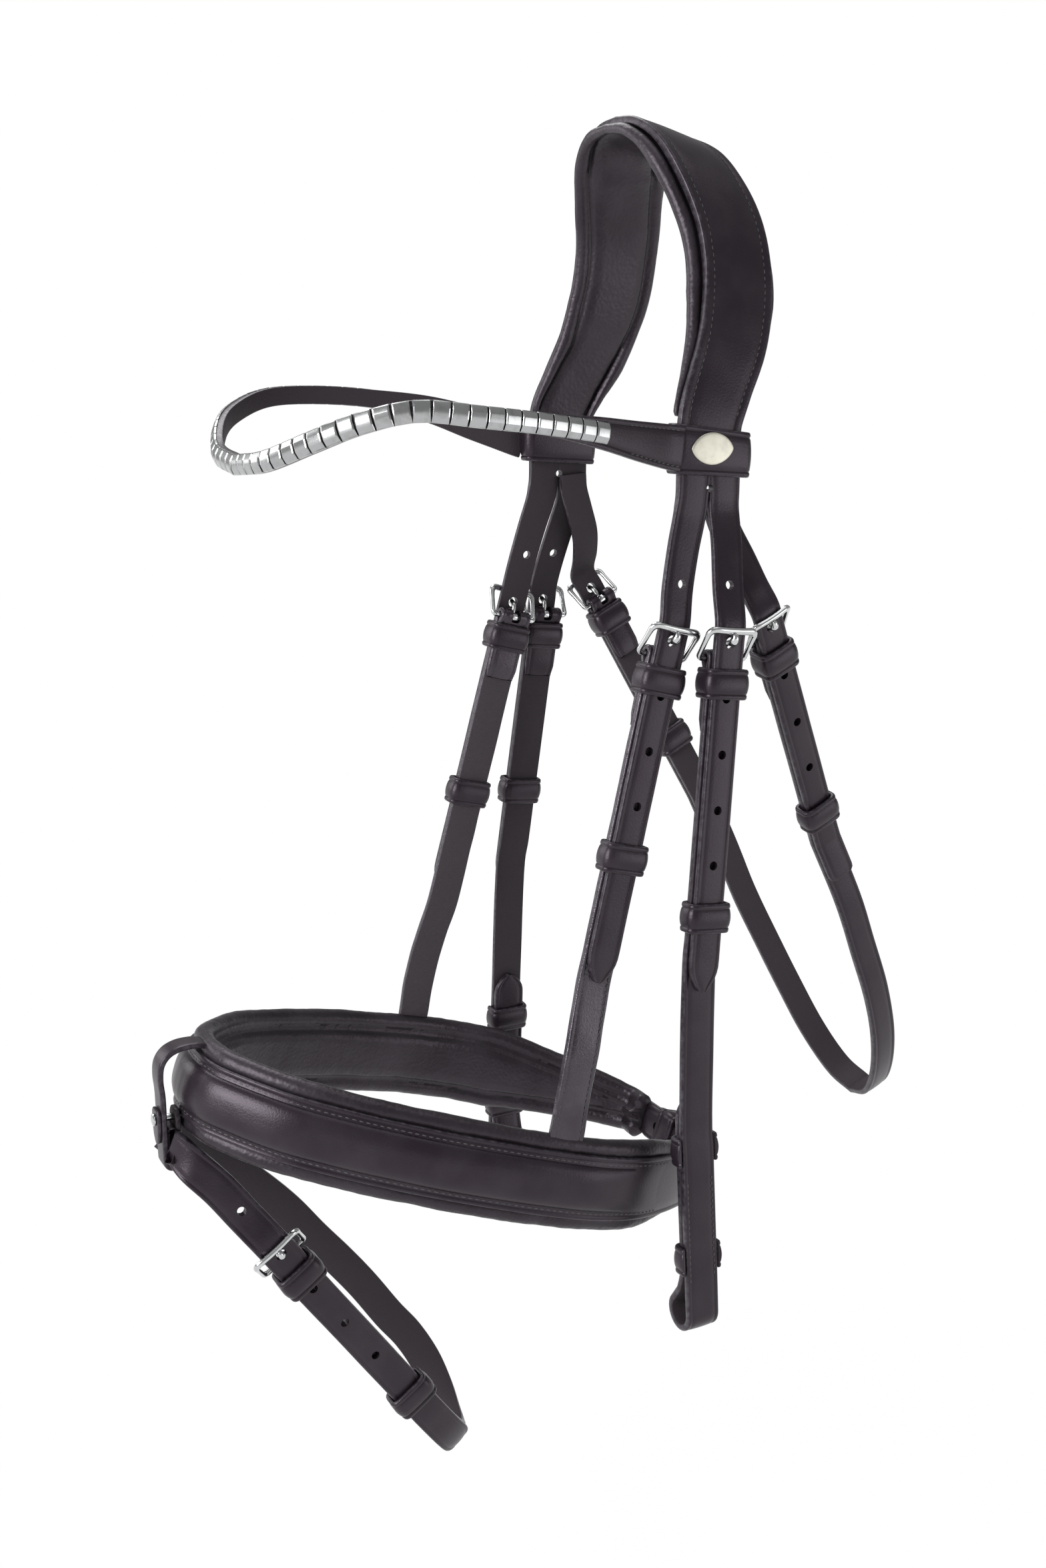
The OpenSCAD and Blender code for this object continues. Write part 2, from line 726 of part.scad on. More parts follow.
// From the near buckle down, round under the jaw and up the off side, through
// the loop, then down to the buckle again as the billet.
flash_seat = seat([27, -182, -451.5], [21.5, -120, -540], [0, 0.75, 0.66]);
flash_runner_u = 108;
flash_straight = 124;
// The strap runs level through the loop as far as this on each side.
flash_level_x = loop_w / 2 + 0.7;
flash_low = smooth([
    for (p = [
        leaf(flash_seat, flash_straight, -strap_t / 2, 0, 0),
        [16.5, -101.5, -566], [11, -95, -574.5], [3, -92, -577.5], [-6, -91, -574],
        [-14, -91.5, -565], [-21, -94.5, -553.5], [-26, -101, -541],
        [-29, -110, -529], [-30, -122, -511], [-30, -134, -495], [-29.5, -146, -480],
        [-28.5, -158, -464], [-27.5, -170, -450.5], [-26, -182, -438.5],
        [-24, -194, -428.5], [-20.5, -204, -420], [-15.5, -212.5, -411.5],
        [-flash_level_x - 1.5, flash_mid_y + 0.3, flash_mid_z - 0.3],
        [-flash_level_x, flash_mid_y, flash_mid_z], [0, flash_mid_y, flash_mid_z]
    ]) [p[0], p[1], p[2], flash_w, strap_t]
], 3);
flash_high = smooth([
    for (p = [
        [0, flash_mid_y, flash_mid_z], [flash_level_x, flash_mid_y, flash_mid_z],
        [flash_level_x + 1.5, flash_mid_y + 0.3, flash_mid_z - 0.3],
        [15.5, -212.5, -412], [20.5, -204, -421.5], [24.4, -194.5, -434.5],
        at(flash_seat, -8, billet_n)
    ]) [p[0], p[1], p[2], flash_w, p[0] < 16 ? strap_t : billet_t]
], 3);
function flash_side(p) =
    p[2] < -425 ? [0, 0.75, 0.66]
    : mix([0, 0, 1], [0, 0.75, 0.66],
        min(1, max(0, abs(p[0]) - flash_level_x) / (22 - flash_level_x)));
flash_tip = pointed([
    for (i = [1:9])
        moved(flash_low, [0, 0.75, 0.66], strap_t / 2 + billet_n)[i]
]);
flash_route = [
    each chape(flash_seat, flash_w),
    each flash_low,
    for (i = [1:len(flash_high) - 1]) flash_high[i],
    leaf(flash_seat, flash_straight, billet_n, flash_w, billet_t),
    each flash_tip
];

flash_sides = [for (p = flash_route) flash_side(p)];

module flash_strap() {
    leather() difference() {
        ribbon(flash_route, turned(flash_seat, flash_route, flash_sides));
        prong_slot(flash_seat);
        punches(flash_seat, [-hole_pitch, for (k = [1:3]) k * hole_pitch]);
        punches(flash_seat, [prong_hole_u], prong_hole_d);
    }
}

module flash_buckle() {
    steel() on(flash_seat) buckle_frame();
}

module flash_prong() {
    steel() on(flash_seat) buckle_prong();
}

module flash_keeper() {
    leather() on(flash_seat) fixed_keeper(flash_w);
}

module flash_runner() {
    leather() on(flash_seat) runner(flash_runner_u, flash_w);
}

// ---- Throatlash ----

throat_seat = seat([73.5, 23.5, -195], [57.5, 61, -270], [0, 0.92, 0.4]);
throat_side = [0, 0.92, 0.4];
throat_clear = throat_w + 4.5;
function throat_runner_u(near) = near ? 102 : 86;
throat_straight = 118;
throat_low = smooth([
    for (p = [
        leaf(throat_seat, throat_straight, -strap_t / 2, 0, 0),
        [50, 91, -330], [48.5, 102, -355], [45, 114, -380], [38.5, 125, -405],
        [28.5, 134, -428], [15, 141, -445], [0, 144, -451]
    ]) [p[0], p[1], p[2], throat_w, strap_t]
]);
throat_half = [each chape(throat_seat, throat_w), each throat_low];
throat_route = [
    each throat_half,
    for (i = [len(throat_half) - 2:-1:0]) mirrored(throat_half[i])
];
throat_sides = [
    for (i = [0:len(throat_route) - 1])
        i < chape_n ? throat_seat[2]
        : i >= len(throat_route) - chape_n ? mirrored(throat_seat[2])
        : throat_side
];
throat_tip = pointed([
    for (i = [1:3]) moved(throat_low, throat_side, strap_t / 2 + billet_n)[i]
]);
throat_billet_route = [
    [leg_x - 1.5, leg_y + 6.5, billet_root_z, throat_w, billet_t],
    [leg_x - 1.4, leg_y + 7.4, -147, throat_w, billet_t],
    [61.8, 9.9, -157, throat_w, billet_t],
    [65.3, 15, -168.5, throat_w, billet_t],
    [70.5, 18, -179, throat_w, billet_t],
    leaf(throat_seat, -8, billet_n, throat_w, billet_t),
    leaf(throat_seat, throat_straight, billet_n, throat_w, billet_t),
    each throat_tip
];

module throatlash() {
    leather() difference() {
        ribbon(throat_route, throat_sides);
        for (s = [0, 1]) side_of(s == 0) prong_slot(throat_seat);
    }
}

module throat_billet(near) {
    leather() side_of(near) difference() {
        ribbon(throat_billet_route, throat_side);
        punches(throat_seat, [for (k = [1:4]) k * hole_pitch]);
        punches(throat_seat, [prong_hole_u], prong_hole_d);
    }
}

module throat_keeper(near) {
    leather() side_of(near) on(throat_seat) fixed_keeper(throat_w);
}

module throat_runner(near) {
    leather() side_of(near) on(throat_seat) runner(throat_runner_u(near), throat_w);
}

// ---- Buckles of the straps that come in pairs ----

module paired_buckle(near, s, clear = buckle_w) {
    steel() side_of(near) on(s) buckle_frame(clear);
}

module paired_prong(near, s) {
    steel() side_of(near) on(s) buckle_prong();
}

module near_badge() { badge(true); }
module off_badge() { badge(false); }
module near_cheek_billet() { cheek_billet(true); }
module off_cheek_billet() { cheek_billet(false); }
module near_cheek_strap() { cheek_strap(true); }
module off_cheek_strap() { cheek_strap(false); }
module near_cheek_buckle() { paired_buckle(true, cheek_seat); }
module off_cheek_buckle() { paired_buckle(false, cheek_seat); }
module near_cheek_prong() { paired_prong(true, cheek_seat); }
module off_cheek_prong() { paired_prong(false, cheek_seat); }
module near_cheek_keepers() { cheek_keepers(true); }
module off_cheek_keepers() { cheek_keepers(false); }
module near_cheek_runner() { cheek_runner(true); }
module off_cheek_runner() { cheek_runner(false); }
module near_hook_stud() { hook_stud(true); }
module off_hook_stud() { hook_stud(false); }
module near_hanger_billet() { hanger_billet(true); }
module off_hanger_billet() { hanger_billet(false); }
module near_hanger_strap() { hanger_strap(true); }
module off_hanger_strap() { hanger_strap(false); }
module near_hanger_buckle() { paired_buckle(true, hanger_seat); }
module off_hanger_buckle() { paired_buckle(false, hanger_seat); }
module near_hanger_prong() { paired_prong(true, hanger_seat); }
module off_hanger_prong() { paired_prong(false, hanger_seat); }
module near_hanger_keeper() { hanger_keeper(true); }
module off_hanger_keeper() { hanger_keeper(false); }
module near_hanger_runner() { hanger_runner(true); }
module off_hanger_runner() { hanger_runner(false); }
module near_throat_billet() { throat_billet(true); }
module off_throat_billet() { throat_billet(false); }
module near_throat_buckle() { paired_buckle(true, throat_seat, throat_clear); }
module off_throat_buckle() { paired_buckle(false, throat_seat, throat_clear); }
module near_throat_prong() { paired_prong(true, throat_seat); }
module off_throat_prong() { paired_prong(false, throat_seat); }
module near_throat_keeper() { throat_keeper(true); }
module off_throat_keeper() { throat_keeper(false); }
module near_throat_runner() { throat_runner(true); }
module off_throat_runner() { throat_runner(false); }

headpiece_leather();
headpiece_padding();
browband();
browband_clincher();
near_badge();
off_badge();
near_cheek_billet();
off_cheek_billet();
near_cheek_strap();
off_cheek_strap();
near_cheek_buckle();
off_cheek_buckle();
near_cheek_prong();
off_cheek_prong();
near_cheek_keepers();
off_cheek_keepers();
near_cheek_runner();
off_cheek_runner();
near_hook_stud();
off_hook_stud();
near_hanger_billet();
off_hanger_billet();
near_hanger_strap();
off_hanger_strap();
near_hanger_buckle();
off_hanger_buckle();
near_hanger_prong();
off_hanger_prong();
near_hanger_keeper();
off_hanger_keeper();
near_hanger_runner();
off_hanger_runner();
near_throat_billet();
off_throat_billet();
near_throat_buckle();
off_throat_buckle();
near_throat_prong();
off_throat_prong();
near_throat_keeper();
off_throat_keeper();
near_throat_runner();
off_throat_runner();
noseband_leather();
noseband_panel();
noseband_padding();
noseband_buckle();
noseband_prong();
noseband_keeper();
flash_loop();
flash_stud();
flash_strap();
flash_buckle();
flash_prong();
flash_keeper();
flash_runner();
throatlash();
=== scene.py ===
"""Snaffle bridle: its leather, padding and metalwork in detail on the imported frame.

Lengths are in millimetres until a piece is placed on its body, which puts it in
metres. X points to the horse's left, the near side, Y to its tail and Z up.
"""

import logging
import math
from dataclasses import dataclass, field
from enum import Enum
from typing import Any, Callable, Iterable, Protocol, Sequence

import bmesh
import bpy
import numpy as np
from mathutils import Matrix, Vector, noise


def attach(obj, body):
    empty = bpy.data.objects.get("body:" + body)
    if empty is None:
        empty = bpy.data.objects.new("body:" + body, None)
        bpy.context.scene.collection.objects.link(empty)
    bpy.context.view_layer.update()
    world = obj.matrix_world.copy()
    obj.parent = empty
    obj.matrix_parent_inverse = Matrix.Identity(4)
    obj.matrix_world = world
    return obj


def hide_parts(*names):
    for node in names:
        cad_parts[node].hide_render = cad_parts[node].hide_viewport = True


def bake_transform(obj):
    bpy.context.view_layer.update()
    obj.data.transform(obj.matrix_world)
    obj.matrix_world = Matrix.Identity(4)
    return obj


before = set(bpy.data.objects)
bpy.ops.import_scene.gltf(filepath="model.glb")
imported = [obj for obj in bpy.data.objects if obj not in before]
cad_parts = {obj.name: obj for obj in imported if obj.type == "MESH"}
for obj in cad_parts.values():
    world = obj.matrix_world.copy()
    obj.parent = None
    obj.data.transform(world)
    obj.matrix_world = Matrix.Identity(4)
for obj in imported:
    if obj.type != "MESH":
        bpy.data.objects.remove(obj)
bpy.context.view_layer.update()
LOG = logging.getLogger("bridle")
MM = 0.001
# A cut that leaves less of a piece than this share of its spread has gone wrong.
LEAST_LEFT = 0.8
# The angle between faces past which a buckle's edge stays sharp.
BUCKLE_SHARP = 50.0

Row = np.ndarray
Mesh = bmesh.types.BMesh


# ---- Directions, routes and seats ----


def vec(*parts: float) -> np.ndarray:
    """Returns a vector of plain numbers."""
    return np.array(parts, float)


def unit(v: np.ndarray) -> np.ndarray:
    """Returns the vector at length one."""
    return v / np.linalg.norm(v)


UP = vec(0, 0, 1)
TAIL = vec(0, 1, 0)
LEFT = vec(1, 0, 0)
MIRROR = vec(-1, 1, 1, 1, 1, -1, 1, 1)


class Side(Enum):
    """The side of the horse that a piece hangs on."""

    NEAR = "near"
    OFF = "off"


def row(co: Iterable[float], width: float, thick: float, side: np.ndarray) -> Row:
    """Makes one place on a strap's route.

    Args:
        co: The middle of the strap there.
        width: The strap's width.
        thick: The strap's thickness.
        side: A direction near that of the strap's width.

    Returns:
        The eight numbers of the place.
    """
    return np.array([*co, width, thick, *side], float)


def mix(a: Any, b: Any, t: float) -> Any:
    """Returns the value a share t of the way from a to b."""
    return a + (b - a) * t


def clamp(t: float) -> float:
    """Returns t held between nought and one."""
    return min(1.0, max(0.0, t))


def smooth(knots: Sequence[Row], steps: int = 8) -> list[Row]:
    """Runs a smooth route through every knot.

    Args:
        knots: The places that the route passes.
        steps: How many places each stretch between two knots gets.

    Returns:
        The places of the route.
    """
    ends = [2 * knots[0] - knots[1], *knots, 2 * knots[-1] - knots[-2]]
    route = []
    for a, b, c, d in zip(ends, ends[1:], ends[2:], ends[3:]):
        for t in np.arange(steps) / steps:
            bend = (2 * a - 5 * b + 4 * c - d) * t * t
            route.append(0.5 * (2 * b + (c - a) * t + bend + (3 * b - a - 3 * c + d) * t**3))
    return [*route, np.array(knots[-1], float)]


def dense(rows: Sequence[Row], pitch: float = 4.0) -> list[Row]:
    """Adds places so that no stretch is longer than the pitch."""
    route = [rows[0]]
    for a, b in zip(rows, rows[1:]):
        parts = max(1, math.ceil(np.linalg.norm((b - a)[:3]) / pitch))
        route += [mix(a, b, k / parts) for k in range(1, parts + 1)]
    return route


def softened(rows: Sequence[Row], r: float = 0.5) -> list[Row]:
    """Rounds the cut ends of a strap by r."""
    route = list(rows)
    for end, step in ((0, 1), (-1, -1)):
        tip = route[end].copy()
        go = unit(route[end + step][:3] - tip[:3])
        full, half = tip.copy(), tip.copy()
        full[:3] += go * r
        half[:3] += go * 0.3 * r
        half[3:5] -= 0.6 * r
        tip[3:5] -= 2 * r
        if end == 0:
            route[0:1] = [tip, half, full]
        else:
            route[-1:] = [full, half, tip]
    return route


def mirrored(rows: Sequence[Row]) -> list[Row]:
    """Returns the route on the other side of the horse."""
    return [r * MIRROR for r in rows]


@dataclass(frozen=True)
class Seat:
    """A buckle's place on a strap.

    The origin is the prong's hole, u runs down the strap, v across it and n
    outward from the horse.
    """

    origin: np.ndarray
    u: np.ndarray
    v: np.ndarray
    n: np.ndarray

    @classmethod
    def facing(cls, origin: np.ndarray, toward: np.ndarray, side: np.ndarray) -> "Seat":
        """Makes the seat that points from its origin toward a place."""
        u = unit(toward - origin)
        v = unit(side - side.dot(u) * u)
        return cls(origin, u, v, np.cross(u, v))

    def at(self, u: float, n: float, v: float = 0.0) -> np.ndarray:
        """Returns the place u along, n outward and v across."""
        return self.origin + u * self.u + v * self.v + n * self.n

    def leaf(self, u: float, n: float, width: float, thick: float) -> Row:
        """Returns a strap's place u along and n outward."""
        return row(self.at(u, n), width, thick, self.v)

    def basis(self) -> Matrix:
        """Returns the turn that puts X on u, Y on v and Z on n at the origin."""
        turn = Matrix([Vector(self.u), Vector(self.v), Vector(self.n)]).transposed().to_4x4()
        return Matrix.Translation(Vector(self.origin)) @ turn


class Track:
    """A strap's route with its directions at every place."""

    def __init__(self, rows: Sequence[Row], closed: bool = False) -> None:
        """Works out the directions.

        Args:
            rows: The places of the route.
            closed: Whether the last place joins the first.
        """
        self.rows = list(rows)
        self.closed = closed
        count = len(self.rows)
        self.frames: list[tuple[np.ndarray, np.ndarray, np.ndarray]] = []
        for i, r in enumerate(self.rows):
            before = self.rows[i - 1] if closed or i else r
            after = self.rows[(i + 1) % count] if closed or i + 1 < count else r
            ahead = unit(after[:3] - before[:3])
            across = unit(r[5:8] - r[5:8].dot(ahead) * ahead)
            self.frames.append((ahead, across, np.cross(ahead, across)))
        steps = [np.linalg.norm(b[:3] - a[:3]) for a, b in zip(self.rows, self.rows[1:])]
        self.reach = [0.0, *np.cumsum(steps)]

    def spot(self, i: int, v: float, n: float) -> np.ndarray:
        """Returns the place v across and n outward from place i."""
        _, across, outward = self.frames[i]
        return self.rows[i][:3] + v * across + n * outward

    def line(
        self,
        v: Callable[[Row], float],
        n: Callable[[Row], float],
        pitch: float,
        keep: Callable[[np.ndarray], bool] = lambda p: True,
    ) -> list[Matrix]:
        """Lays out places a pitch apart on a line that follows the route.

        Args:
            v: The line's distance across from a place's middle.
            n: The line's distance outward from a place's middle.
            pitch: The distance from one place on the line to the next.
            keep: Says whether a place is wanted.

        Returns:
            A matrix for each place, with X along the line and Z outward.
        """
        spots = [self.spot(i, v(r), n(r)) for i, r in enumerate(self.rows)]
        marks: list[Matrix] = []
        due = pitch / 2
        for i, (a, b) in enumerate(zip(spots, spots[1:])):
            gap = float(np.linalg.norm(b - a))
            while due < gap:
                t = due / gap
                p = mix(a, b, t)
                if keep(p):
                    ahead = unit(b - a)
                    outward = unit(mix(self.frames[i][2], self.frames[i + 1][2], t))
                    across = np.cross(outward, ahead)
                    turn = Matrix([Vector(ahead), Vector(across), Vector(outward)])
                    marks.append(Matrix.Translation(Vector(p)) @ turn.transposed().to_4x4())
                due += pitch
            due -= gap
        return marks


# ---- Outlines, seen along a strap ----


class Outline(Protocol):
    """The shape of a cut across a strap, pad or wire."""

    def points(self, width: float, thick: float) -> list[tuple[float, float, float]]:
        """Returns (across, outward, round) for each corner of the cut."""


@dataclass(frozen=True)
class StrapCut:
    """A strap's cut: rounded edges, a crease by each edge and a low dome.

    The pairs are distances in from an edge and heights over the flat face.
    """

    front: tuple[tuple[float, float], ...] = (
        (0.0, -0.75), (0.12, -0.35), (0.38, -0.1), (0.8, 0.02),
        (1.45, 0.03), (1.75, -0.12), (2.0, -0.2), (2.25, -0.12), (2.6, 0.05),
    )
    back: tuple[tuple[float, float], ...] = ((0.0, -0.6), (0.15, -0.2), (0.6, 0.0))
    dome: float = 0.16

    def points(self, width: float, thick: float) -> list[tuple[float, float, float]]:
        """Returns the corners from the front's right edge round to the start."""
        half = width / 2
        k = min(1.0, half / (self.front[-1][0] + 1.2))
        face = [(half - k * i, thick / 2 + k * h) for i, h in self.front]
        reach, top = face[-1]
        hump = [(reach * f, top + k * self.dome * (1 - f * f)) for f in (0.66, 0.33, 0.0)]
        right = face + hump
        left = [(-v, n) for v, n in reversed(right[:-1])]
        lower = [(half - k * i, -thick / 2 - k * h) for i, h in self.back]
        under = [(-v, n) for v, n in lower] + [(0.0, -thick / 2)] + lower[::-1]
        return [(v, n, v / half) for v, n in right + left] + [
            (v, n, -3.0 - v / half) for v, n in under
        ]


PLAIN = StrapCut()
LINED = StrapCut(
    front=(
        (0.0, -0.7), (0.12, -0.3), (0.4, -0.08), (0.8, 0.02), (1.5, 0.04),
        (1.85, -0.16), (2.1, -0.28), (2.35, -0.16), (2.9, 0.08),
    ),
    dome=0.3,
)
WIDE = StrapCut(
    front=(
        (0.0, -0.85), (0.12, -0.42), (0.42, -0.12), (1.0, 0.02),
        (3.1, 0.1), (3.5, -0.08), (3.85, -0.2), (4.2, -0.08), (4.8, 0.12),
    ),
    dome=0.35,
)
FLAT = StrapCut(front=((0.0, -0.5), (0.15, -0.18), (0.5, 0.0)), back=((0.0, -0.5), (0.4, 0.0)), dome=0.1)
BAND = StrapCut(
    front=(
        (0.0, -0.8), (0.15, -0.4), (0.5, -0.1), (1.1, 0.06),
        (1.7, 0.06), (2.0, -0.14), (2.25, -0.24), (2.5, -0.14), (3.0, 0.12),
    ),
    dome=0.45,
)


@dataclass(frozen=True)
class Oval:
    """A wire's cut, with the width across and the thickness outward."""

    corners: int = 14
    power: float = 1.0

    def points(self, width: float, thick: float) -> list[tuple[float, float, float]]:
        """Returns the corners round the wire."""
        turns = [2 * math.pi * k / self.corners for k in range(self.corners)]
        squash = lambda x: math.copysign(abs(x) ** self.power, x)
        return [
            (width / 2 * squash(math.cos(a)), thick / 2 * squash(math.sin(a)), a / math.pi)
            for a in turns
        ]


@dataclass(frozen=True)
class PadCut:
    """A pad's cut: a roll at each edge, a sewn channel and a flat middle.

    The outward distance counts from the leather that the pad is sewn under.
    """

    roll: float
    gap: float = 0.4
    lift: float = 0.0
    channel: float = 1.9

    def points(self, width: float, thick: float) -> list[tuple[float, float, float]]:
        """Returns the corners from the middle of the top round to the start."""
        half = width / 2
        r = min(self.roll, 0.52 * thick + 0.6)
        top = -self.gap + self.lift
        hub_v, hub_n = half - r, top - r
        inner = half - 2 * r
        floor = -self.gap - thick
        side = [(0.0, -self.gap - 0.1), (inner * 0.6, -self.gap - 0.1), (inner + 0.1 * r, -self.gap - 0.35)]
        for a in range(130, -131, -20):
            turn = math.radians(a)
            side.append((hub_v + r * math.cos(turn), hub_n + r * math.sin(turn)))
        deep = max(self.channel, 0.0)
        side += [
            (inner - 0.1, floor + deep + 0.3), (inner - 0.5, floor + deep + 0.2),
            (inner - 1.1, floor + 0.55 * deep), (inner - 2.2, floor + 0.12),
            (inner * 0.5, floor - 0.1), (0.0, floor - 0.15),
        ]
        ring = side + [(-v, n) for v, n in reversed(side[1:-1])]
        count = len(ring)
        return [(v, n, 2 * k / count) for k, (v, n) in enumerate(ring)]


# ---- Making meshes ----


def sweep(track: Track, outline: Outline, hollow: bool = False) -> Mesh:
    """Draws an outline along a route.

    Args:
        track: The route.
        outline: The cut across the piece.
        hollow: Leaves the ends of an open route open.

    Returns:
        The mesh, whose UV map holds the distance along in metres and the
        place round the cut.
    """
    cuts = [outline.points(r[3], r[4]) for r in track.rows]
    around, along = len(cuts[0]), len(cuts)
    extra = 1 if track.closed else 0
    mesh = bmesh.new()
    bmesh.ops.create_grid(mesh, x_segments=around, y_segments=along - 1 + extra, size=0.5)
    uv = mesh.loops.layers.uv.new("strap")
    turns = [c[2] for c in cuts[0]] + [cuts[0][-1][2] + cuts[0][1][2] - cuts[0][0][2]]
    if isinstance(outline, StrapCut):
        turns[-1] = -5.0
    lengths = [*track.reach, track.reach[-1] + track.reach[1]]
    grid = {}
    for vert in mesh.verts:
        i = round((vert.co.x + 0.5) * around)
        j = round((vert.co.y + 0.5) * (along - 1 + extra))
        grid[vert] = (i, j)
    for face in mesh.faces:
        for loop in face.loops:
            i, j = grid[loop.vert]
            loop[uv].uv = (lengths[j] * MM, turns[i])
    for vert, (i, j) in grid.items():
        v, n, _ = cuts[j % along][i % around]
        vert.co = track.spot(j % along, v, n)
    bmesh.ops.remove_doubles(mesh, verts=mesh.verts, dist=0.002)
    rim = [e for e in mesh.edges if e.is_boundary]
    if rim and not hollow:
        bmesh.ops.edgeloop_fill(mesh, edges=rim)
    bmesh.ops.recalc_face_normals(mesh, faces=mesh.faces)
    return mesh


def strap(rows: Sequence[Row], outline: Outline = PLAIN, soft: float = 0.5, pitch: float = 4.0) -> Mesh:
    """Draws a strap with rounded ends along a route."""
    return sweep(Track(softened(dense(rows, pitch), soft)), outline)


def joined(*meshes: Mesh) -> Mesh:
    """Puts several meshes in the first one."""
    first = meshes[0]
    for other in meshes[1:]:
        block = bpy.data.meshes.new("joining")
        other.to_mesh(block)
        first.from_mesh(block)
        other.free()
        bpy.data.meshes.remove(block)
    return first


def reach(mesh: Mesh) -> float:
    """Returns how far a mesh's corners spread, added over the three axes."""
    return sum(max(v.co[k] for v in mesh.verts) - min(v.co[k] for v in mesh.verts) for k in range(3))


def carve(mesh: Mesh, tool: Mesh, folded: bool = False) -> Mesh:
    """Takes the tool's solid out of a mesh.

    Args:
        mesh: The solid to cut.
        tool: The solid to take out.
        folded: Whether the solid runs into itself somewhere.

    Returns:
        The cut solid.
    """
    before = reach(mesh)
    holders = []
    for solid in (mesh, tool):
        block = bpy.data.meshes.new("carving")
        solid.to_mesh(block)
        solid.free()
        holder = bpy.data.objects.new("carving", block)
        bpy.context.scene.collection.objects.link(holder)
        holders.append(holder)
    cut = holders[0].modifiers.new("cut", "BOOLEAN")
    cut.operation, cut.solver, cut.object = "DIFFERENCE", "EXACT", holders[1]
    cut.use_self = folded
    seen = holders[0].evaluated_get(bpy.context.evaluated_depsgraph_get())
    block = bpy.data.meshes.new_from_object(seen)
    done = bmesh.new()
    done.from_mesh(block)
    for holder in holders:
        data = holder.data
        bpy.data.objects.remove(holder)
        bpy.data.meshes.remove(data)
    bpy.data.meshes.remove(block)
    if not done.faces or reach(done) < LEAST_LEFT * before:
        raise ValueError("the cut lost most of the piece")
    return done


def drill(seat: Seat, spots: Iterable[float], d: float, v: float = 0.0, deep: float = 14.0) -> Mesh:
    """Makes the tool that punches round holes through a strap.

    Args:
        seat: The seat that the holes are placed from.
        spots: How far down the strap each hole is.
        d: The width of a hole.
        v: How far across each hole is.
        deep: The length of the tool.

    Returns:
        One solid for each hole, in one mesh.
    """
    tool = bmesh.new()
    for u in spots:
        place = Matrix.Translation((u, v, 0.0))
        bmesh.ops.create_cone(
            tool, cap_ends=True, segments=22, radius1=d / 2, radius2=d / 2, depth=deep,
            matrix=seat.basis() @ place,
        )
    return tool


def stitches(marks: Iterable[Matrix], length: float = 2.2, width: float = 0.75, height: float = 0.55) -> Mesh:
    """Sews one stitch at each mark."""
    mesh = bmesh.new()
    for mark in marks:
        size = Matrix.Diagonal((length, width, height, 1.0))
        bmesh.ops.create_icosphere(mesh, subdivisions=1, radius=0.5, matrix=mark @ size)
    return mesh


def ripple(mesh: Mesh, height: float, size: float, seed: float = 0.0) -> Mesh:
    """Makes a surface slightly uneven, as leather is.

    Args:
        mesh: The surface.
        height: How far it moves at most.
        size: The distance from one low place to the next.
        seed: Shifts the pattern.

    Returns:
        The same mesh.
    """
    mesh.normal_update()
    moves = [
        v.normal * (height * noise.noise(v.co / size + Vector((seed, 0.0, seed))))
        for v in mesh.verts
    ]
    for vert, move in zip(mesh.verts, moves):
        vert.co += move
    return mesh


# ---- Finishes ----


class Sock:
    """A node's output that takes part in Python sums."""

    def __init__(self, dress: "Dress", out: bpy.types.NodeSocket) -> None:
        """Keeps the output and the material it belongs to."""
        self.dress = dress
        self.out = out

    def _sum(self, operation: str, *values: Any) -> "Sock":
        """Adds a Math node."""
        return self.dress.node("ShaderNodeMath", {"operation": operation}, dict(enumerate(values)))

    def __add__(self, other: Any) -> "Sock":
        """Returns self + other."""
        return self._sum("ADD", self, other)

    def __sub__(self, other: Any) -> "Sock":
        """Returns self - other."""
        return self._sum("SUBTRACT", self, other)

    def __rsub__(self, other: Any) -> "Sock":
        """Returns other - self."""
        return self._sum("SUBTRACT", other, self)

    def __mul__(self, other: Any) -> "Sock":
        """Returns self * other."""
        return self._sum("MULTIPLY", self, other)

    def __abs__(self) -> "Sock":
        """Returns the size of the value."""
        return self._sum("ABSOLUTE", self)

    def ramp(self, low: float, high: float) -> "Sock":
        """Returns nought below low and one above high, smoothly."""
        return self.dress.node(
            "ShaderNodeMapRange",
            {"interpolation_type": "SMOOTHSTEP"},
            {"Value": self, "From Min": low, "From Max": high},
        )

    __radd__ = __add__
    __rmul__ = __mul__


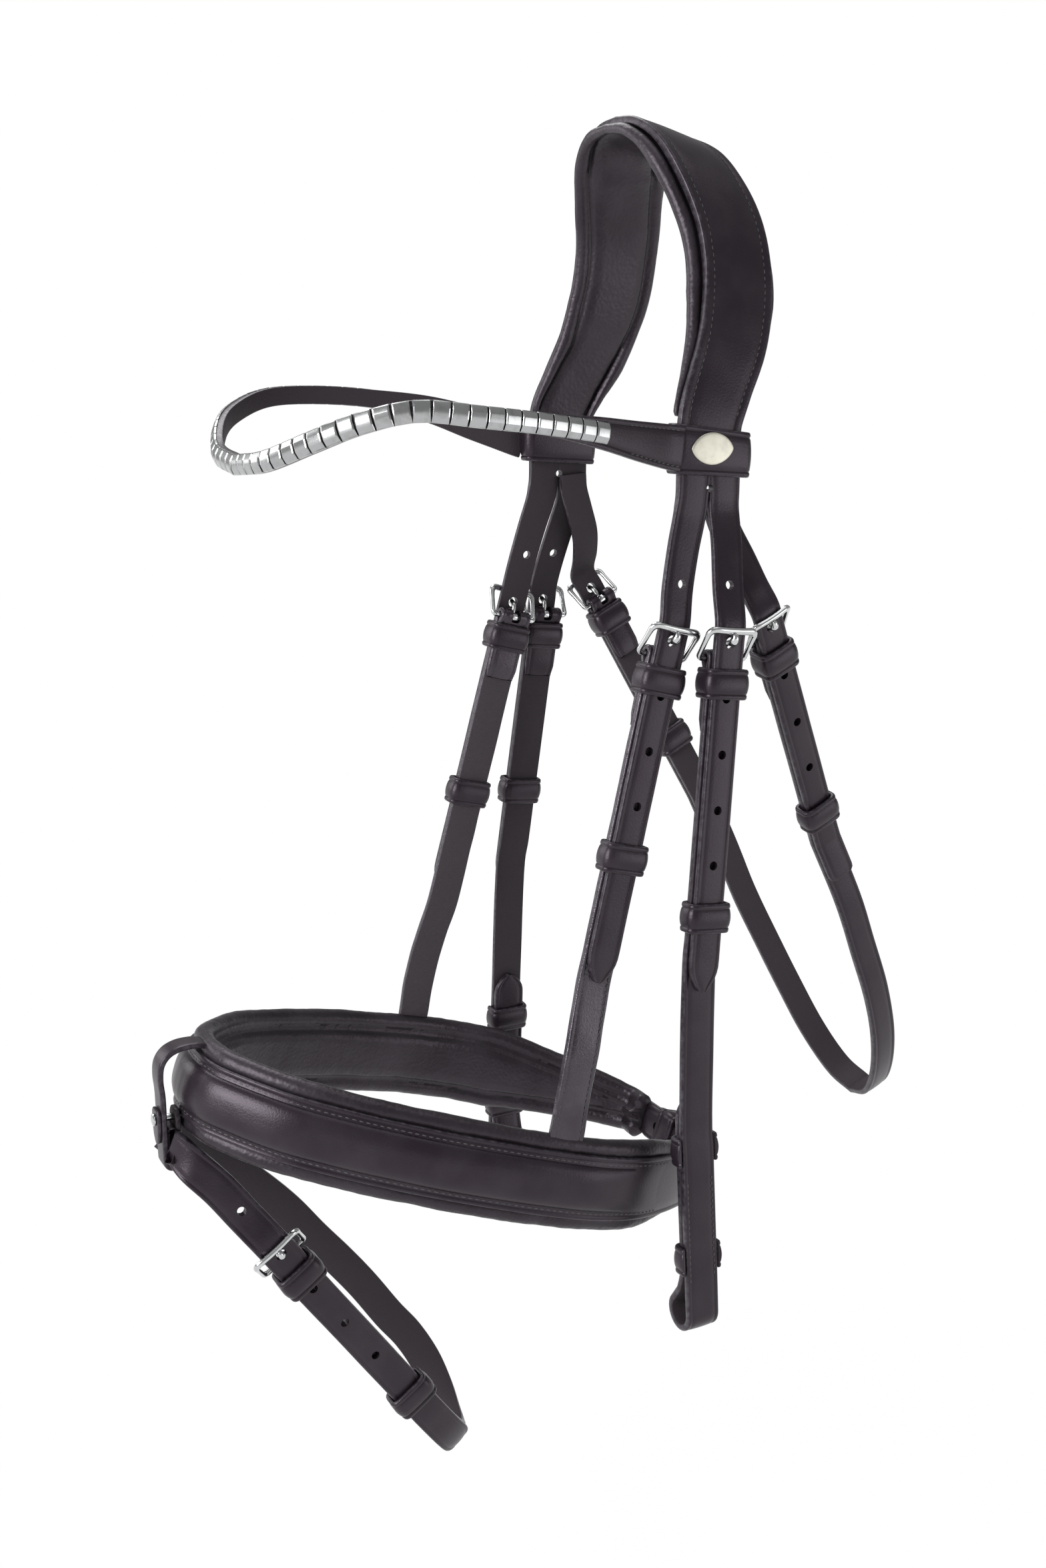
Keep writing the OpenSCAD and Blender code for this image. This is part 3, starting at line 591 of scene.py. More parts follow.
class Dress:
    """Builds one material out of nodes."""

    def __init__(self, name: str) -> None:
        """Starts a material with nothing in it."""
        self.material = bpy.data.materials.new(name)
        self.material.use_nodes = True
        self.tree = self.material.node_tree
        self.tree.nodes.clear()

    def node(
        self,
        kind: str,
        settings: dict[str, Any] | None = None,
        inputs: dict[Any, Any] | None = None,
        out: int | str = 0,
    ) -> Sock:
        """Adds a node.

        Args:
            kind: The node's type.
            settings: Its own settings, which are set first.
            inputs: Values or outputs for its sockets, by name or number.
            out: The output to return.

        Returns:
            The output that was asked for.
        """
        made = self.tree.nodes.new(kind)
        for key, value in (settings or {}).items():
            setattr(made, key, value)
        for key, value in (inputs or {}).items():
            if isinstance(value, Sock):
                self.tree.links.new(value.out, made.inputs[key])
            else:
                made.inputs[key].default_value = value
        return Sock(self, made.outputs[out] if made.outputs else None)

    def place(self) -> Sock:
        """Returns the place on the bridle, in metres."""
        return self.node("ShaderNodeTexCoord", out="Object")

    def along(self) -> tuple[Sock, Sock]:
        """Returns how far along a strap and how far round its cut a point is."""
        uv = self.node("ShaderNodeUVMap", {"uv_map": "strap"})
        split = self.node("ShaderNodeSeparateXYZ", inputs={0: uv})
        return split, Sock(self, split.out.node.outputs[1])

    def cloud(self, where: Sock, scale: float, detail: float = 2.0) -> Sock:
        """Returns a soft pattern of that many spots in a metre."""
        inputs = {"Vector": where, "Scale": scale, "Detail": detail}
        return self.node("ShaderNodeTexNoise", inputs=inputs)

    def pebbles(self, where: Sock, scale: float) -> Sock:
        """Returns the pebbles of leather grain, that many in a metre."""
        settings = {"feature": "SMOOTH_F1"}
        inputs = {"Vector": where, "Scale": scale, "Smoothness": 0.6}
        return self.node("ShaderNodeTexVoronoi", settings, inputs)

    def blend(self, share: Any, a: Any, b: Any) -> Sock:
        """Mixes two colours."""
        return self.node(
            "ShaderNodeMix", {"data_type": "RGBA"}, {0: share, 6: a, 7: b}, out=2
        )

    def bump(self, height: Sock, strength: float, depth: float) -> Sock:
        """Turns a height into a normal, with the depth in metres."""
        inputs = {"Strength": strength, "Distance": depth, "Height": height}
        return self.node("ShaderNodeBump", inputs=inputs)

    def finish(self, inputs: dict[str, Any]) -> bpy.types.Material:
        """Adds the surface shader with those inputs and returns the material."""
        surface = self.node("ShaderNodeBsdfPrincipled", inputs=inputs)
        self.node("ShaderNodeOutputMaterial", inputs={"Surface": surface})
        return self.material


# Dyed leather's highlights are a little purple.
LEATHER_SHEEN = (1.0, 0.88, 1.0, 1.0)


def grey(level: float, tint: tuple[float, float, float] = (1.0, 1.0, 1.0)) -> tuple:
    """Returns a colour at a level, with a tint."""
    return (level * tint[0], level * tint[1], level * tint[2], 1.0)


@dataclass(frozen=True)
class StrapLeather:
    """Dyed bridle leather: waxed grain, edges lightened partly by wear and partly by a painted highlight, and
    a rougher flesh side.
    """

    name: str = "bridle leather"
    base: tuple = (0.0118, 0.0080, 0.0120, 1.0)
    faded: tuple = (0.0190, 0.0148, 0.0188, 1.0)
    # The lighter colour on the edges: partly wear, partly a painted highlight.
    worn: tuple = (0.0600, 0.0560, 0.0680, 1.0)
    flesh: tuple = (0.0240, 0.0200, 0.0225, 1.0)
    rough: float = 0.31
    grain: float = 0.20
    shine: float = 1.42

    def dress(self) -> bpy.types.Material:
        """Returns the material."""
        d = Dress(self.name)
        where = d.place()
        length, turn = d.along()
        flesh = 1 - abs(turn + 3.0).ramp(0.93, 1.02)
        edge = abs(turn).ramp(0.86, 0.99) * (1 - flesh)
        patchy = d.cloud(where, 55.0, 4.0)
        fine = d.cloud(where, 1500.0, 2.0)
        pores = d.pebbles(where, 1150.0)
        drawn = d.node("ShaderNodeCombineXYZ", inputs={0: length * 35.0, 1: turn * 14.0})
        streak = d.cloud(drawn, 3.0, 3.0)
        # The edges are lightened partly by wear and partly by a painted highlight on the bevelled edges.
        rub_and_highlight = edge * d.cloud(where, 420.0, 3.0).ramp(0.35, 0.75)
        colour = d.blend(patchy.ramp(0.35, 0.72), self.base, self.faded)
        colour = d.blend(rub_and_highlight * 0.75, colour, self.worn)
        colour = d.blend(flesh, colour, self.flesh)
        rough = self.rough + patchy * 0.10 + streak * 0.10 - 0.08 - rub_and_highlight * 0.06 + flesh * 0.36
        height = pores * 0.55 + fine * 0.45 + streak * 0.35 + flesh * fine * 1.6
        normal = d.bump(height, self.grain, 0.00035)
        return d.finish({"Base Color": colour, "Roughness": rough, "Normal": normal, "IOR": self.shine,
                         "Specular Tint": LEATHER_SHEEN})


@dataclass(frozen=True)
class PadLeather:
    """Soft lining leather over foam, with a pebbled grain."""

    name: str = "padding leather"
    base: tuple = (0.0118, 0.0092, 0.0120, 1.0)
    faded: tuple = (0.0225, 0.0190, 0.0240, 1.0)
    rough: float = 0.35
    shine: float = 1.44
    pebble: float = 620.0
    grain: float = 0.30

    def dress(self) -> bpy.types.Material:
        """Returns the material."""
        d = Dress(self.name)
        where = d.place()
        patchy = d.cloud(where, 38.0, 4.0)
        warp = d.cloud(where, 190.0, 2.0)
        pores = d.pebbles(where, self.pebble)
        fine = d.cloud(where, 1900.0, 2.0)
        colour = d.blend(patchy.ramp(0.35, 0.7), self.base, self.faded)
        rough = self.rough + patchy * 0.14 - 0.07 + pores * 0.08
        height = pores * 0.9 + fine * 0.25 + warp * 1.1
        normal = d.bump(height, self.grain, 0.0005)
        return d.finish({"Base Color": colour, "Roughness": rough, "Normal": normal, "IOR": self.shine,
                         "Specular Tint": LEATHER_SHEEN})


@dataclass(frozen=True)
class Thread:
    """Waxed black thread with a faint twist."""

    name: str = "waxed thread"
    base: tuple = (0.030, 0.027, 0.031, 1.0)
    light: tuple = (0.075, 0.070, 0.078, 1.0)
    rough: float = 0.48

    def dress(self) -> bpy.types.Material:
        """Returns the material."""
        d = Dress(self.name)
        where = d.place()
        twist = d.cloud(where, 2600.0, 1.0)
        colour = d.blend(twist.ramp(0.35, 0.65), self.base, self.light)
        rough = self.rough + twist * 0.12
        return d.finish({"Base Color": colour, "Roughness": rough, "Normal": d.bump(twist, 0.4, 0.0002)})


@dataclass(frozen=True)
class Metal:
    """Polished or satin metal with handling marks."""

    name: str
    base: tuple
    dull: tuple
    rough: float
    spread: float = 0.10

    def dress(self) -> bpy.types.Material:
        """Returns the material."""
        d = Dress(self.name)
        where = d.place()
        smear = d.cloud(where, 240.0, 4.0)
        marks = d.cloud(where, 2400.0, 3.0)
        colour = d.blend(smear.ramp(0.45, 0.8) * 0.6, self.base, self.dull)
        rough = self.rough + smear * self.spread - self.spread / 2 + marks * 0.05
        normal = d.bump(marks, 0.05, 0.0001)
        return d.finish(
            {"Base Color": colour, "Metallic": 1.0, "Roughness": rough, "Normal": normal}
        )


class Finish(Enum):
    """What a piece is made of, with the record's slot for it."""

    LEATHER = (StrapLeather(), "leather")
    # The hanger's light faded colour is a painted reflection: its patches paint the mottled grey sheen of the
    # lower hanger.
    HANGER = (
        StrapLeather(
            "stitched hanger leather", faded=(0.034, 0.031, 0.037, 1), grain=0.45, rough=0.24, shine=1.6,
        ),
        "leather",
    )
    PADDING = (PadLeather(), "padding")
    THREAD = (Thread(), "leather")
    STEEL = (Metal("polished steel", grey(0.62, (0.98, 0.99, 1.0)), grey(0.42), 0.13), "steel")
    BARREL = (Metal("polished barrels", grey(0.46, (0.98, 0.99, 1.0)), grey(0.28), 0.19), "steel")
    BADGE = (Metal("satin badge", (0.60, 0.58, 0.50, 1), (0.50, 0.48, 0.41, 1), 0.42), "badge")


# ---- Placing finished pieces ----


@dataclass(frozen=True)
class Fit:
    """How a finished piece joins the bridle. Names may hold {side}."""

    body: str
    finish: Finish = Finish.LEATHER
    stands_for: tuple[str, ...] = ()
    bend: tuple[str, tuple[float, float, float], tuple[float, float, float]] | None = None
    fill: float | None = None
    sharp: float = 38.0


class Bench:
    """Turns meshes into finished pieces on their bodies."""

    def __init__(self) -> None:
        """Makes every finish once."""
        self.cloth = {f: f.value[0].dress() for f in Finish}

    def place(self, mesh: Mesh, name: str, fit: Fit) -> bpy.types.Object:
        """Puts one piece on its body.

        Args:
            mesh: The piece in millimetres, which is used up.
            name: The piece's name.
            fit: How it joins the bridle.

        Returns:
            The finished object.
        """
        bmesh.ops.scale(mesh, vec=(MM, MM, MM), verts=mesh.verts)
        block = bpy.data.meshes.new(name)
        mesh.to_mesh(block)
        mesh.free()
        block.shade_smooth()
        block.set_sharp_from_angle(angle=math.radians(fit.sharp))
        block.materials.clear()
        block.materials.append(self.cloth[fit.finish])
        piece = bpy.data.objects.new(name, block)
        bpy.context.scene.collection.objects.link(piece)
        if fit.bend:
            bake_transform(piece)
        else:
            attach(piece, fit.body)
        if fit.stands_for:
            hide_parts(*fit.stands_for)
        LOG.info("%s: %d faces on %s", name, len(block.polygons), fit.body)
        return piece

    def pair(self, mesh: Mesh, name: str, fit: Fit, other: Mesh | None = None) -> None:
        """Puts the near piece and its mirror image on the off side.

        Args:
            mesh: The near piece, which is used up.
            name: The piece's name without its side.
            fit: How it joins the bridle.
            other: The piece to mirror, where the off side's stands elsewhere.
        """
        twin = other or mesh.copy()
        bmesh.ops.scale(twin, vec=(-1, 1, 1), verts=twin.verts)
        bmesh.ops.reverse_faces(twin, faces=twin.faces)
        for side, solid in ((Side.NEAR, mesh), (Side.OFF, twin)):
            word, sign = side.value, (1 if side is Side.NEAR else -1)
            bend = fit.bend
            if bend:
                ends = [(sign * p[0], p[1], p[2]) for p in bend[1:]]
                bend = (bend[0].format(side=word), ends[0], ends[1])
            own = Fit(
                fit.body.format(side=word), fit.finish,
                tuple(n.format(side=word) for n in fit.stands_for), bend, fit.fill, fit.sharp,
            )
            self.place(solid, f"{word}_{name}", own)


    def metalwork(self, buckle: "Buckle", body: str, stem: str, names: tuple[str, str]) -> None:
        """Puts a buckle's wire and its prong, on both sides where the stem names one.

        Args:
            buckle: The buckle.
            body: The body that carries the wire.
            stem: What the names of the buckle's nodes start with.
            names: The names of the wire and the prong.
        """
        put = self.pair if "{side}" in stem else self.place
        put(buckle.wire(), names[0], Fit(body, Finish.STEEL, (f"{stem}_buckle",), sharp=BUCKLE_SHARP))
        prong = f"{stem}_prong"
        put(buckle.prong(), names[1], Fit(prong, Finish.STEEL, (prong,), sharp=BUCKLE_SHARP))

    def runners(self, owner: "Cheekpiece | Hanger | Throatlash", stem: str, name: str) -> None:
        """Puts the near and off runners of a strap, which stand at their own heights.

        Args:
            owner: The strap that they slide on.
            stem: What the names of their bodies and nodes start with.
            name: The runner's name.
        """
        node = f"{stem}_runner"
        near, off = (TRADE.runner(owner.seat, u, owner.width) for u in owner.runner_u)
        self.pair(near, name, Fit(node, stands_for=(node,)), off)


# ---- Buckles, keepers and the parts of a strap that every strap shares ----


@dataclass(frozen=True)
class Trade:
    """The sizes that every strap is cut to."""

    strap_t: float = 3.0
    billet_t: float = 2.6
    chape_t: float = 2.0
    keeper_t: float = 1.9
    keeper_l: float = 12.5
    hole_d: float = 3.8
    bar_u: float = 7.0
    fold_r: float = 2.55
    top_u: float = -5.0
    top_n: float = 4.3
    roof_n: float = 2.85
    billet_n: float = 1.55
    back_n: float = -4.15
    gap: float = 0.25
    slide: float = 0.4

    @property
    def bar_n(self) -> float:
        """Returns how far outward the bar lies."""
        return -self.chape_t / 2 - self.fold_r

    def fold(self, seat: Seat, width: float, end: float = 37.0) -> list[Row]:
        """Returns the leather turned round a bar, from its skived end to the front."""
        rows = [
            seat.leaf(end, self.back_n + 0.3, width - 1.2, 1.0),
            seat.leaf(end - 5, self.back_n, width - 0.2, self.chape_t),
            seat.leaf(self.bar_u + 4.5, self.back_n, width, self.chape_t),
        ]
        for a in range(-84, 85, 12):
            turn = math.radians(a)
            rows.append(seat.leaf(
                self.bar_u - self.fold_r * math.cos(turn),
                self.bar_n + self.fold_r * math.sin(turn), width, self.chape_t,
            ))
        rows.append(seat.leaf(self.bar_u + 1.0, -self.chape_t / 2, width, self.chape_t))
        rows.append(seat.leaf(self.bar_u + 4.0, -self.strap_t / 2, width, self.strap_t))
        return rows

    def slot(self, seat: Seat) -> Mesh:
        """Returns the tool that opens a fold for the prong."""
        tool = bmesh.new()
        middle = Matrix.Translation((self.bar_u - 1.1, 0.0, self.bar_n))
        size = Matrix.Diagonal((7.0, 4.4, 9.4, 1.0))
        bmesh.ops.create_cube(tool, size=1.0, matrix=seat.basis() @ middle @ size)
        upright = [e for e in tool.edges]
        bmesh.ops.bevel(tool, geom=upright, offset=1.2, offset_type="OFFSET", segments=3,
                        profile=0.5, affect="EDGES", material=-1)
        return tool

    def tip(self, seat: Seat, length: float, width: float, from_u: float = -8.0) -> list[Row]:
        """Returns a billet's straight run over its strap, down to its point."""
        rows = [seat.leaf(from_u, self.billet_n, width, self.billet_t)]
        return rows + [
            seat.leaf(length - back, self.billet_n, width * share, self.billet_t)
            for back, share in TIP
        ]

    def keeper(self, seat: Seat, u: float, width: float, floor: float, gap: float,
               roof: float | None = None, length: float | None = None, bulge: float = 0.25) -> Mesh:
        """Makes the leather ring round the layers of a strap.

        Args:
            seat: The strap's seat.
            u: How far down the strap its upper edge lies.
            width: The width of the layers inside it.
            floor: The innermost face inside it.
            gap: The room between the layers and the ring.
            roof: The outermost face inside it.
            length: Its length down the strap.
            bulge: How far the middle of its front stands out.

        Returns:
            The ring, with two creases round it.
        """
        long = length or self.keeper_l
        t, r = self.keeper_t, 2.2
        a = width / 2 + gap + t / 2
        low, high = floor - gap - t / 2, (self.roof_n if roof is None else roof) + gap + t / 2
        spots: list[tuple[float, float]] = [(0.0, high + bulge), (-a * 0.45, high + bulge * 0.75)]
        for v, n, start in ((-a + r, high - r, 90), (-a + r, low + r, 180)):
            for k in range(5):
                turn = math.radians(start + 22.5 * k)
                spots.append((v + r * math.cos(turn), n + r * math.sin(turn)))
        spots.append((-a * 0.3, low - bulge * 0.3))
        spots += [(-v, n) for v, n in reversed(spots[1:])]
        rows = [row(seat.at(u + long / 2, n, v), long, t, seat.u) for v, n in spots]
        return sweep(Track(rows, closed=True), BAND)

    def cradle(self, seat: Seat, u: float, width: float, floor: float) -> Mesh:
        """Makes the leather that goes round the back and both edges of a strap.

        Args:
            seat: The strap's seat.
            u: How far down the strap its upper edge lies.
            width: The strap's width.
            floor: The innermost face inside it.

        Returns:
            The band, which leaves the strap's front plain.
        """
        t, r, long = self.keeper_t, 2.2, self.keeper_l
        a, low = width / 2 + self.gap + t / 2, floor - self.gap - t / 2
        spots = [(-a + 0.5, -0.35), (-a + 0.05, -1.0), (-a, -2.0)]
        for k in range(5):
            turn = math.radians(180 + 22.5 * k)
            spots.append((-a + r + r * math.cos(turn), low + r + r * math.sin(turn)))
        spots.append((0.0, low - 0.1))
        spots += [(-v, n) for v, n in reversed(spots[:-1])]
        rows = [row(seat.at(u + long / 2, n, v), long, t, seat.u) for v, n in spots]
        return sweep(Track(softened(rows, 0.4)), BAND)

    def fixed(self, seat: Seat, width: float) -> Mesh:
        """Returns the keeper that is sewn in below a buckle."""
        return self.keeper(seat, self.bar_u + 3.8, width, self.back_n - self.chape_t / 2, self.gap)

    def runner(self, seat: Seat, u: float, width: float) -> Mesh:
        """Returns a keeper that slides on its strap."""
        return self.keeper(seat, u - self.keeper_l / 2, width, -self.strap_t, self.slide)


TIP = (
    (14.0, 1.0), (11.0, 0.985), (8.5, 0.92), (6.2, 0.80), (4.2, 0.64),
    (2.5, 0.46), (1.2, 0.30), (0.3, 0.15),
)
SQUARE_TIP = ((3.2, 1.0), (1.8, 0.96), (0.9, 0.88), (0.3, 0.76))
TRADE = Trade()


def overlaid(low: Sequence[Row], width: float, end: float, tip: Sequence[tuple[float, float]]) -> list[Row]:
    """Returns a billet's last stretch, over the strap that it lies on.

    Args:
        low: The strap's route from the end of its straight.
        width: The billet's width.
        end: How far it reaches past the straight.
        tip: Its point, as distances from the end with shares of the width.

    Returns:
        The places of the route.
    """
    track = Track(dense(low, 1.3))
    backs, shares = [b for b, _ in tip[::-1]], [s for _, s in tip[::-1]]
    rows = []
    for i, r in enumerate(track.rows):
        if 1.0 < track.reach[i] < end:
            over = r.copy()
            over[:3] = track.spot(i, 0.0, TRADE.strap_t / 2 + TRADE.billet_n)
            over[3] = width * float(np.interp(end - track.reach[i], backs, shares))
            over[4] = TRADE.billet_t
            rows.append(over)
    return rows


@dataclass(frozen=True)
class Buckle:
    """A stamped wire buckle with a flattened top bar, and its prong."""

    seat: Seat
    clear: float = 20.0
    corner: float = 2.9
    arch: float = 0.7

    def wire(self) -> Mesh:
        """Returns the frame, one closed wire with rounded corners."""
        t, s = TRADE, self.seat
        rise = vec(t.top_u - t.bar_u, t.top_n - t.bar_n)
        tall = float(np.linalg.norm(rise))
        rise = rise / tall
        square = unit(rise[0] * s.n - rise[1] * s.u)
        half = self.clear / 2 + 1.06
        rows: list[Row] = []

        def add(v: float, w: float) -> None:
            """Adds a place v across and w up the frame."""
            top = clamp((w - tall + 4.5) / 4.0)
            lift = self.arch * top * (1 - (v / half) ** 2)
            co = s.at(t.bar_u + rise[0] * w, t.bar_n + rise[1] * w, v) - square * lift
            low = clamp(1 - w / 2.0)
            rows.append(row(co, mix(2.0, 2.5, max(top, low)), mix(2.05, 3.0, top) + 0.25 * low, square))

        for sign_v, sign_w, start in ((1, 1, 0), (-1, 1, 90), (-1, -1, 180), (1, -1, 270)):
            r = self.corner if sign_w > 0 else 1.6
            hub_v, hub_w = sign_v * (half - r), (tall - r if sign_w > 0 else r)
            for k in range(7):
                turn = math.radians(start + 15 * k)
                add(hub_v + r * math.cos(turn), hub_w + r * math.sin(turn))
            if start in (0, 180):
                for f in (-0.6, -0.3, 0.0, 0.3, 0.6):
                    add(-sign_v * f * half * 1.0, tall if sign_w > 0 else 0.0)
            else:
                for f in (0.3, 0.5, 0.7):
                    add(sign_v * half, mix(hub_w, (r if sign_w > 0 else tall - r), f))
        return sweep(Track(rows, closed=True), Oval(14, 0.85))

    def prong(self) -> Mesh:
        """Returns the prong: an eye round the bar and a tongue with a round bend."""
        t, s = TRADE, self.seat
        eye = []
        for k in range(20):
            turn = 2 * math.pi * k / 20
            place = s.at(t.bar_u + 1.73 * math.cos(turn), t.bar_n + 1.73 * math.sin(turn))
            eye.append(row(place, 3.2, 0.95, s.v))
        ring = sweep(Track(eye, closed=True), Oval(10, 0.5))
        knots = [
            (5.7, -2.3, 2.3), (3.4, -1.7, 2.2), (1.3, -0.9, 2.2), (0.35, 1.0, 2.3),
            (0.1, 3.2, 2.9), (-0.45, 4.85, 3.5), (-1.7, 5.7, 3.0), (-3.0, 5.75, 2.3), (-3.6, 5.6, 1.6),
        ]
        tongue = smooth([row(s.at(u, n), d, d, s.v) for u, n, d in knots], 4)
        return joined(ring, sweep(Track(softened(tongue, 0.35)), Oval(14)))


# ---- Headpiece ----


@dataclass
class Headpiece:
    """The crown leather, cut back behind the ears, over its foam padding."""

    leg_x: float = 62.0
    leg_y: float = -1.0
    leg_w: float = 29.5
    crown_w: float = 32.0
    crown_t: float = 3.4
    bottom: float = -139.0
    hidden: float = -124.5
    roll: float = 4.5
    pad_t: float = 7.0
    poll_pad_t: float = 3.0
    pad_end: float = -113.5

    def knots(self) -> list[tuple[float, float, float, float]]:
        """Returns the middle of the crown's inner face down the near leg, with its width."""
        w, leg, y = self.crown_w, self.leg_x, self.leg_y
        return [
            (0, 4.5, 3.6, w - 2), (14, 5.5, 1.8, w - 1), (27, 9, -5.5, w), (37.5, 13.8, -19, w),
            (46, 17.8, -37, w), (52, 17.8, -58, w), (57.2, 12.8, -80, w - 0.5),
            (60.2, 5, -98, self.leg_w + 0.4), (leg, y + 0.5, -112, self.leg_w),
            (leg, y, -126, self.leg_w), (leg, y, self.bottom, self.leg_w),
        ]

    def route(self, pad: bool = False) -> list[Row]:
        """Returns the crown's route, or the padding's under it."""
        near = smooth([row(k[:3], k[3], self.crown_t, TAIL) for k in self.knots()], 8)
        near = [r for r in near if r[2] > (self.pad_end if pad else self.hidden)]
        for r in near:
            r[7] = -0.25 * max(0.0, 1 + r[2] / 60)
            if pad:
                r[3] += 2 * self.roll * min(1.0, (r[2] - self.pad_end + 8) / 58)
                r[4] = mix(self.pad_t, self.poll_pad_t, max(0.0, 1 + (r[2] - 3.6) / 12))
                r[4] *= min(1.0, 0.15 + (r[2] - self.pad_end) / 53)
        return mirrored(near[:0:-1]) + near

    def lifted(self, rows: Sequence[Row], lift: float) -> list[Row]:
        """Moves a route outward."""
        track = Track(rows)
        for i, r in enumerate(rows):
            r[:3] = track.spot(i, 0.0, lift)
        return list(rows)

    def leather(self) -> Mesh:
        """Returns the crown leather; the holes at its slit ends are punched in the billets."""
        rows = dense(self.lifted(self.route(), self.crown_t / 2), 3.0)
        return ripple(sweep(Track(rows), WIDE), 0.14, 26.0)

    def slit_hole(self, sign: int) -> Mesh:
        """Returns the tool for the small hole at the top of a leg's slit."""
        tool = bmesh.new()
        spot = Matrix.Translation((sign * self.leg_x, self.leg_y + 0.03, self.bottom - 0.07))
        bmesh.ops.create_cone(
            tool, cap_ends=True, segments=22, radius1=1.6, radius2=1.6, depth=20,
            matrix=spot @ Matrix.Rotation(0.13, 4, "X") @ Matrix.Rotation(math.pi / 2, 4, "Y"),
        )
        return tool

    def seams(self) -> Mesh:
        """Returns the stitching along both edges of the crown."""
        track = Track(self.lifted(self.route(), self.crown_t / 2))
        marks = []
        for sign in (-1, 1):
            marks += track.line(
                lambda r, s=sign: s * (r[3] / 2 - 3.85), lambda r: r[4] / 2 - 0.12, 2.9,
                keep=lambda p: p[2] > -112,
            )
        for sign in (-1, 1):
            marks += self.bar(sign)
        return stitches(marks, 2.1, 0.7, 0.5)

    def bar(self, sign: int) -> list[Matrix]:
        """Returns the stitch marks across a leg, above its browband loop."""
        x, y, half = sign * (self.leg_x + self.crown_t - 0.12), self.leg_y, self.leg_w / 2 - 3
        rows = [row((x, y - half + 2 * half * k / 8, -113.6), 1.0, 0.0, UP) for k in range(9)]
        return Track(rows if sign < 0 else rows[::-1]).line(lambda r: 0.0, lambda r: 0.0, 2.7)

    def padding(self) -> Mesh:
        """Returns the padding with a roll along each edge."""
        rows = dense(self.route(pad=True), 3.0)
        for end, inner in ((0, 1), (-1, -2)):
            tip = rows[end].copy()
            tip[:3] += unit(rows[end][:3] - rows[inner][:3]) * 1.5
            tip[3:5] = tip[3] - 1.5, 0.8
            rows.insert(0 if end == 0 else len(rows), tip)
        mesh = sweep(Track(rows), PadCut(roll=3.1, gap=0.6, channel=1.6))
        return ripple(ripple(mesh, 0.35, 17.0, 3.0), 0.12, 4.0, 7.0)

    def build(self, bench: Bench) -> None:
        """Makes and places the headpiece."""
        bench.place(self.leather(), "crown_leather", Fit("headpiece", stands_for=("headpiece_leather",)))
        bench.place(self.seams(), "crown_stitching", Fit("headpiece", Finish.THREAD))
        bench.place(
            self.padding(), "crown_padding",
            Fit("headpiece", Finish.PADDING, ("headpiece_padding",), fill=0.7, sharp=60.0),
        )


# ---- Browband ----


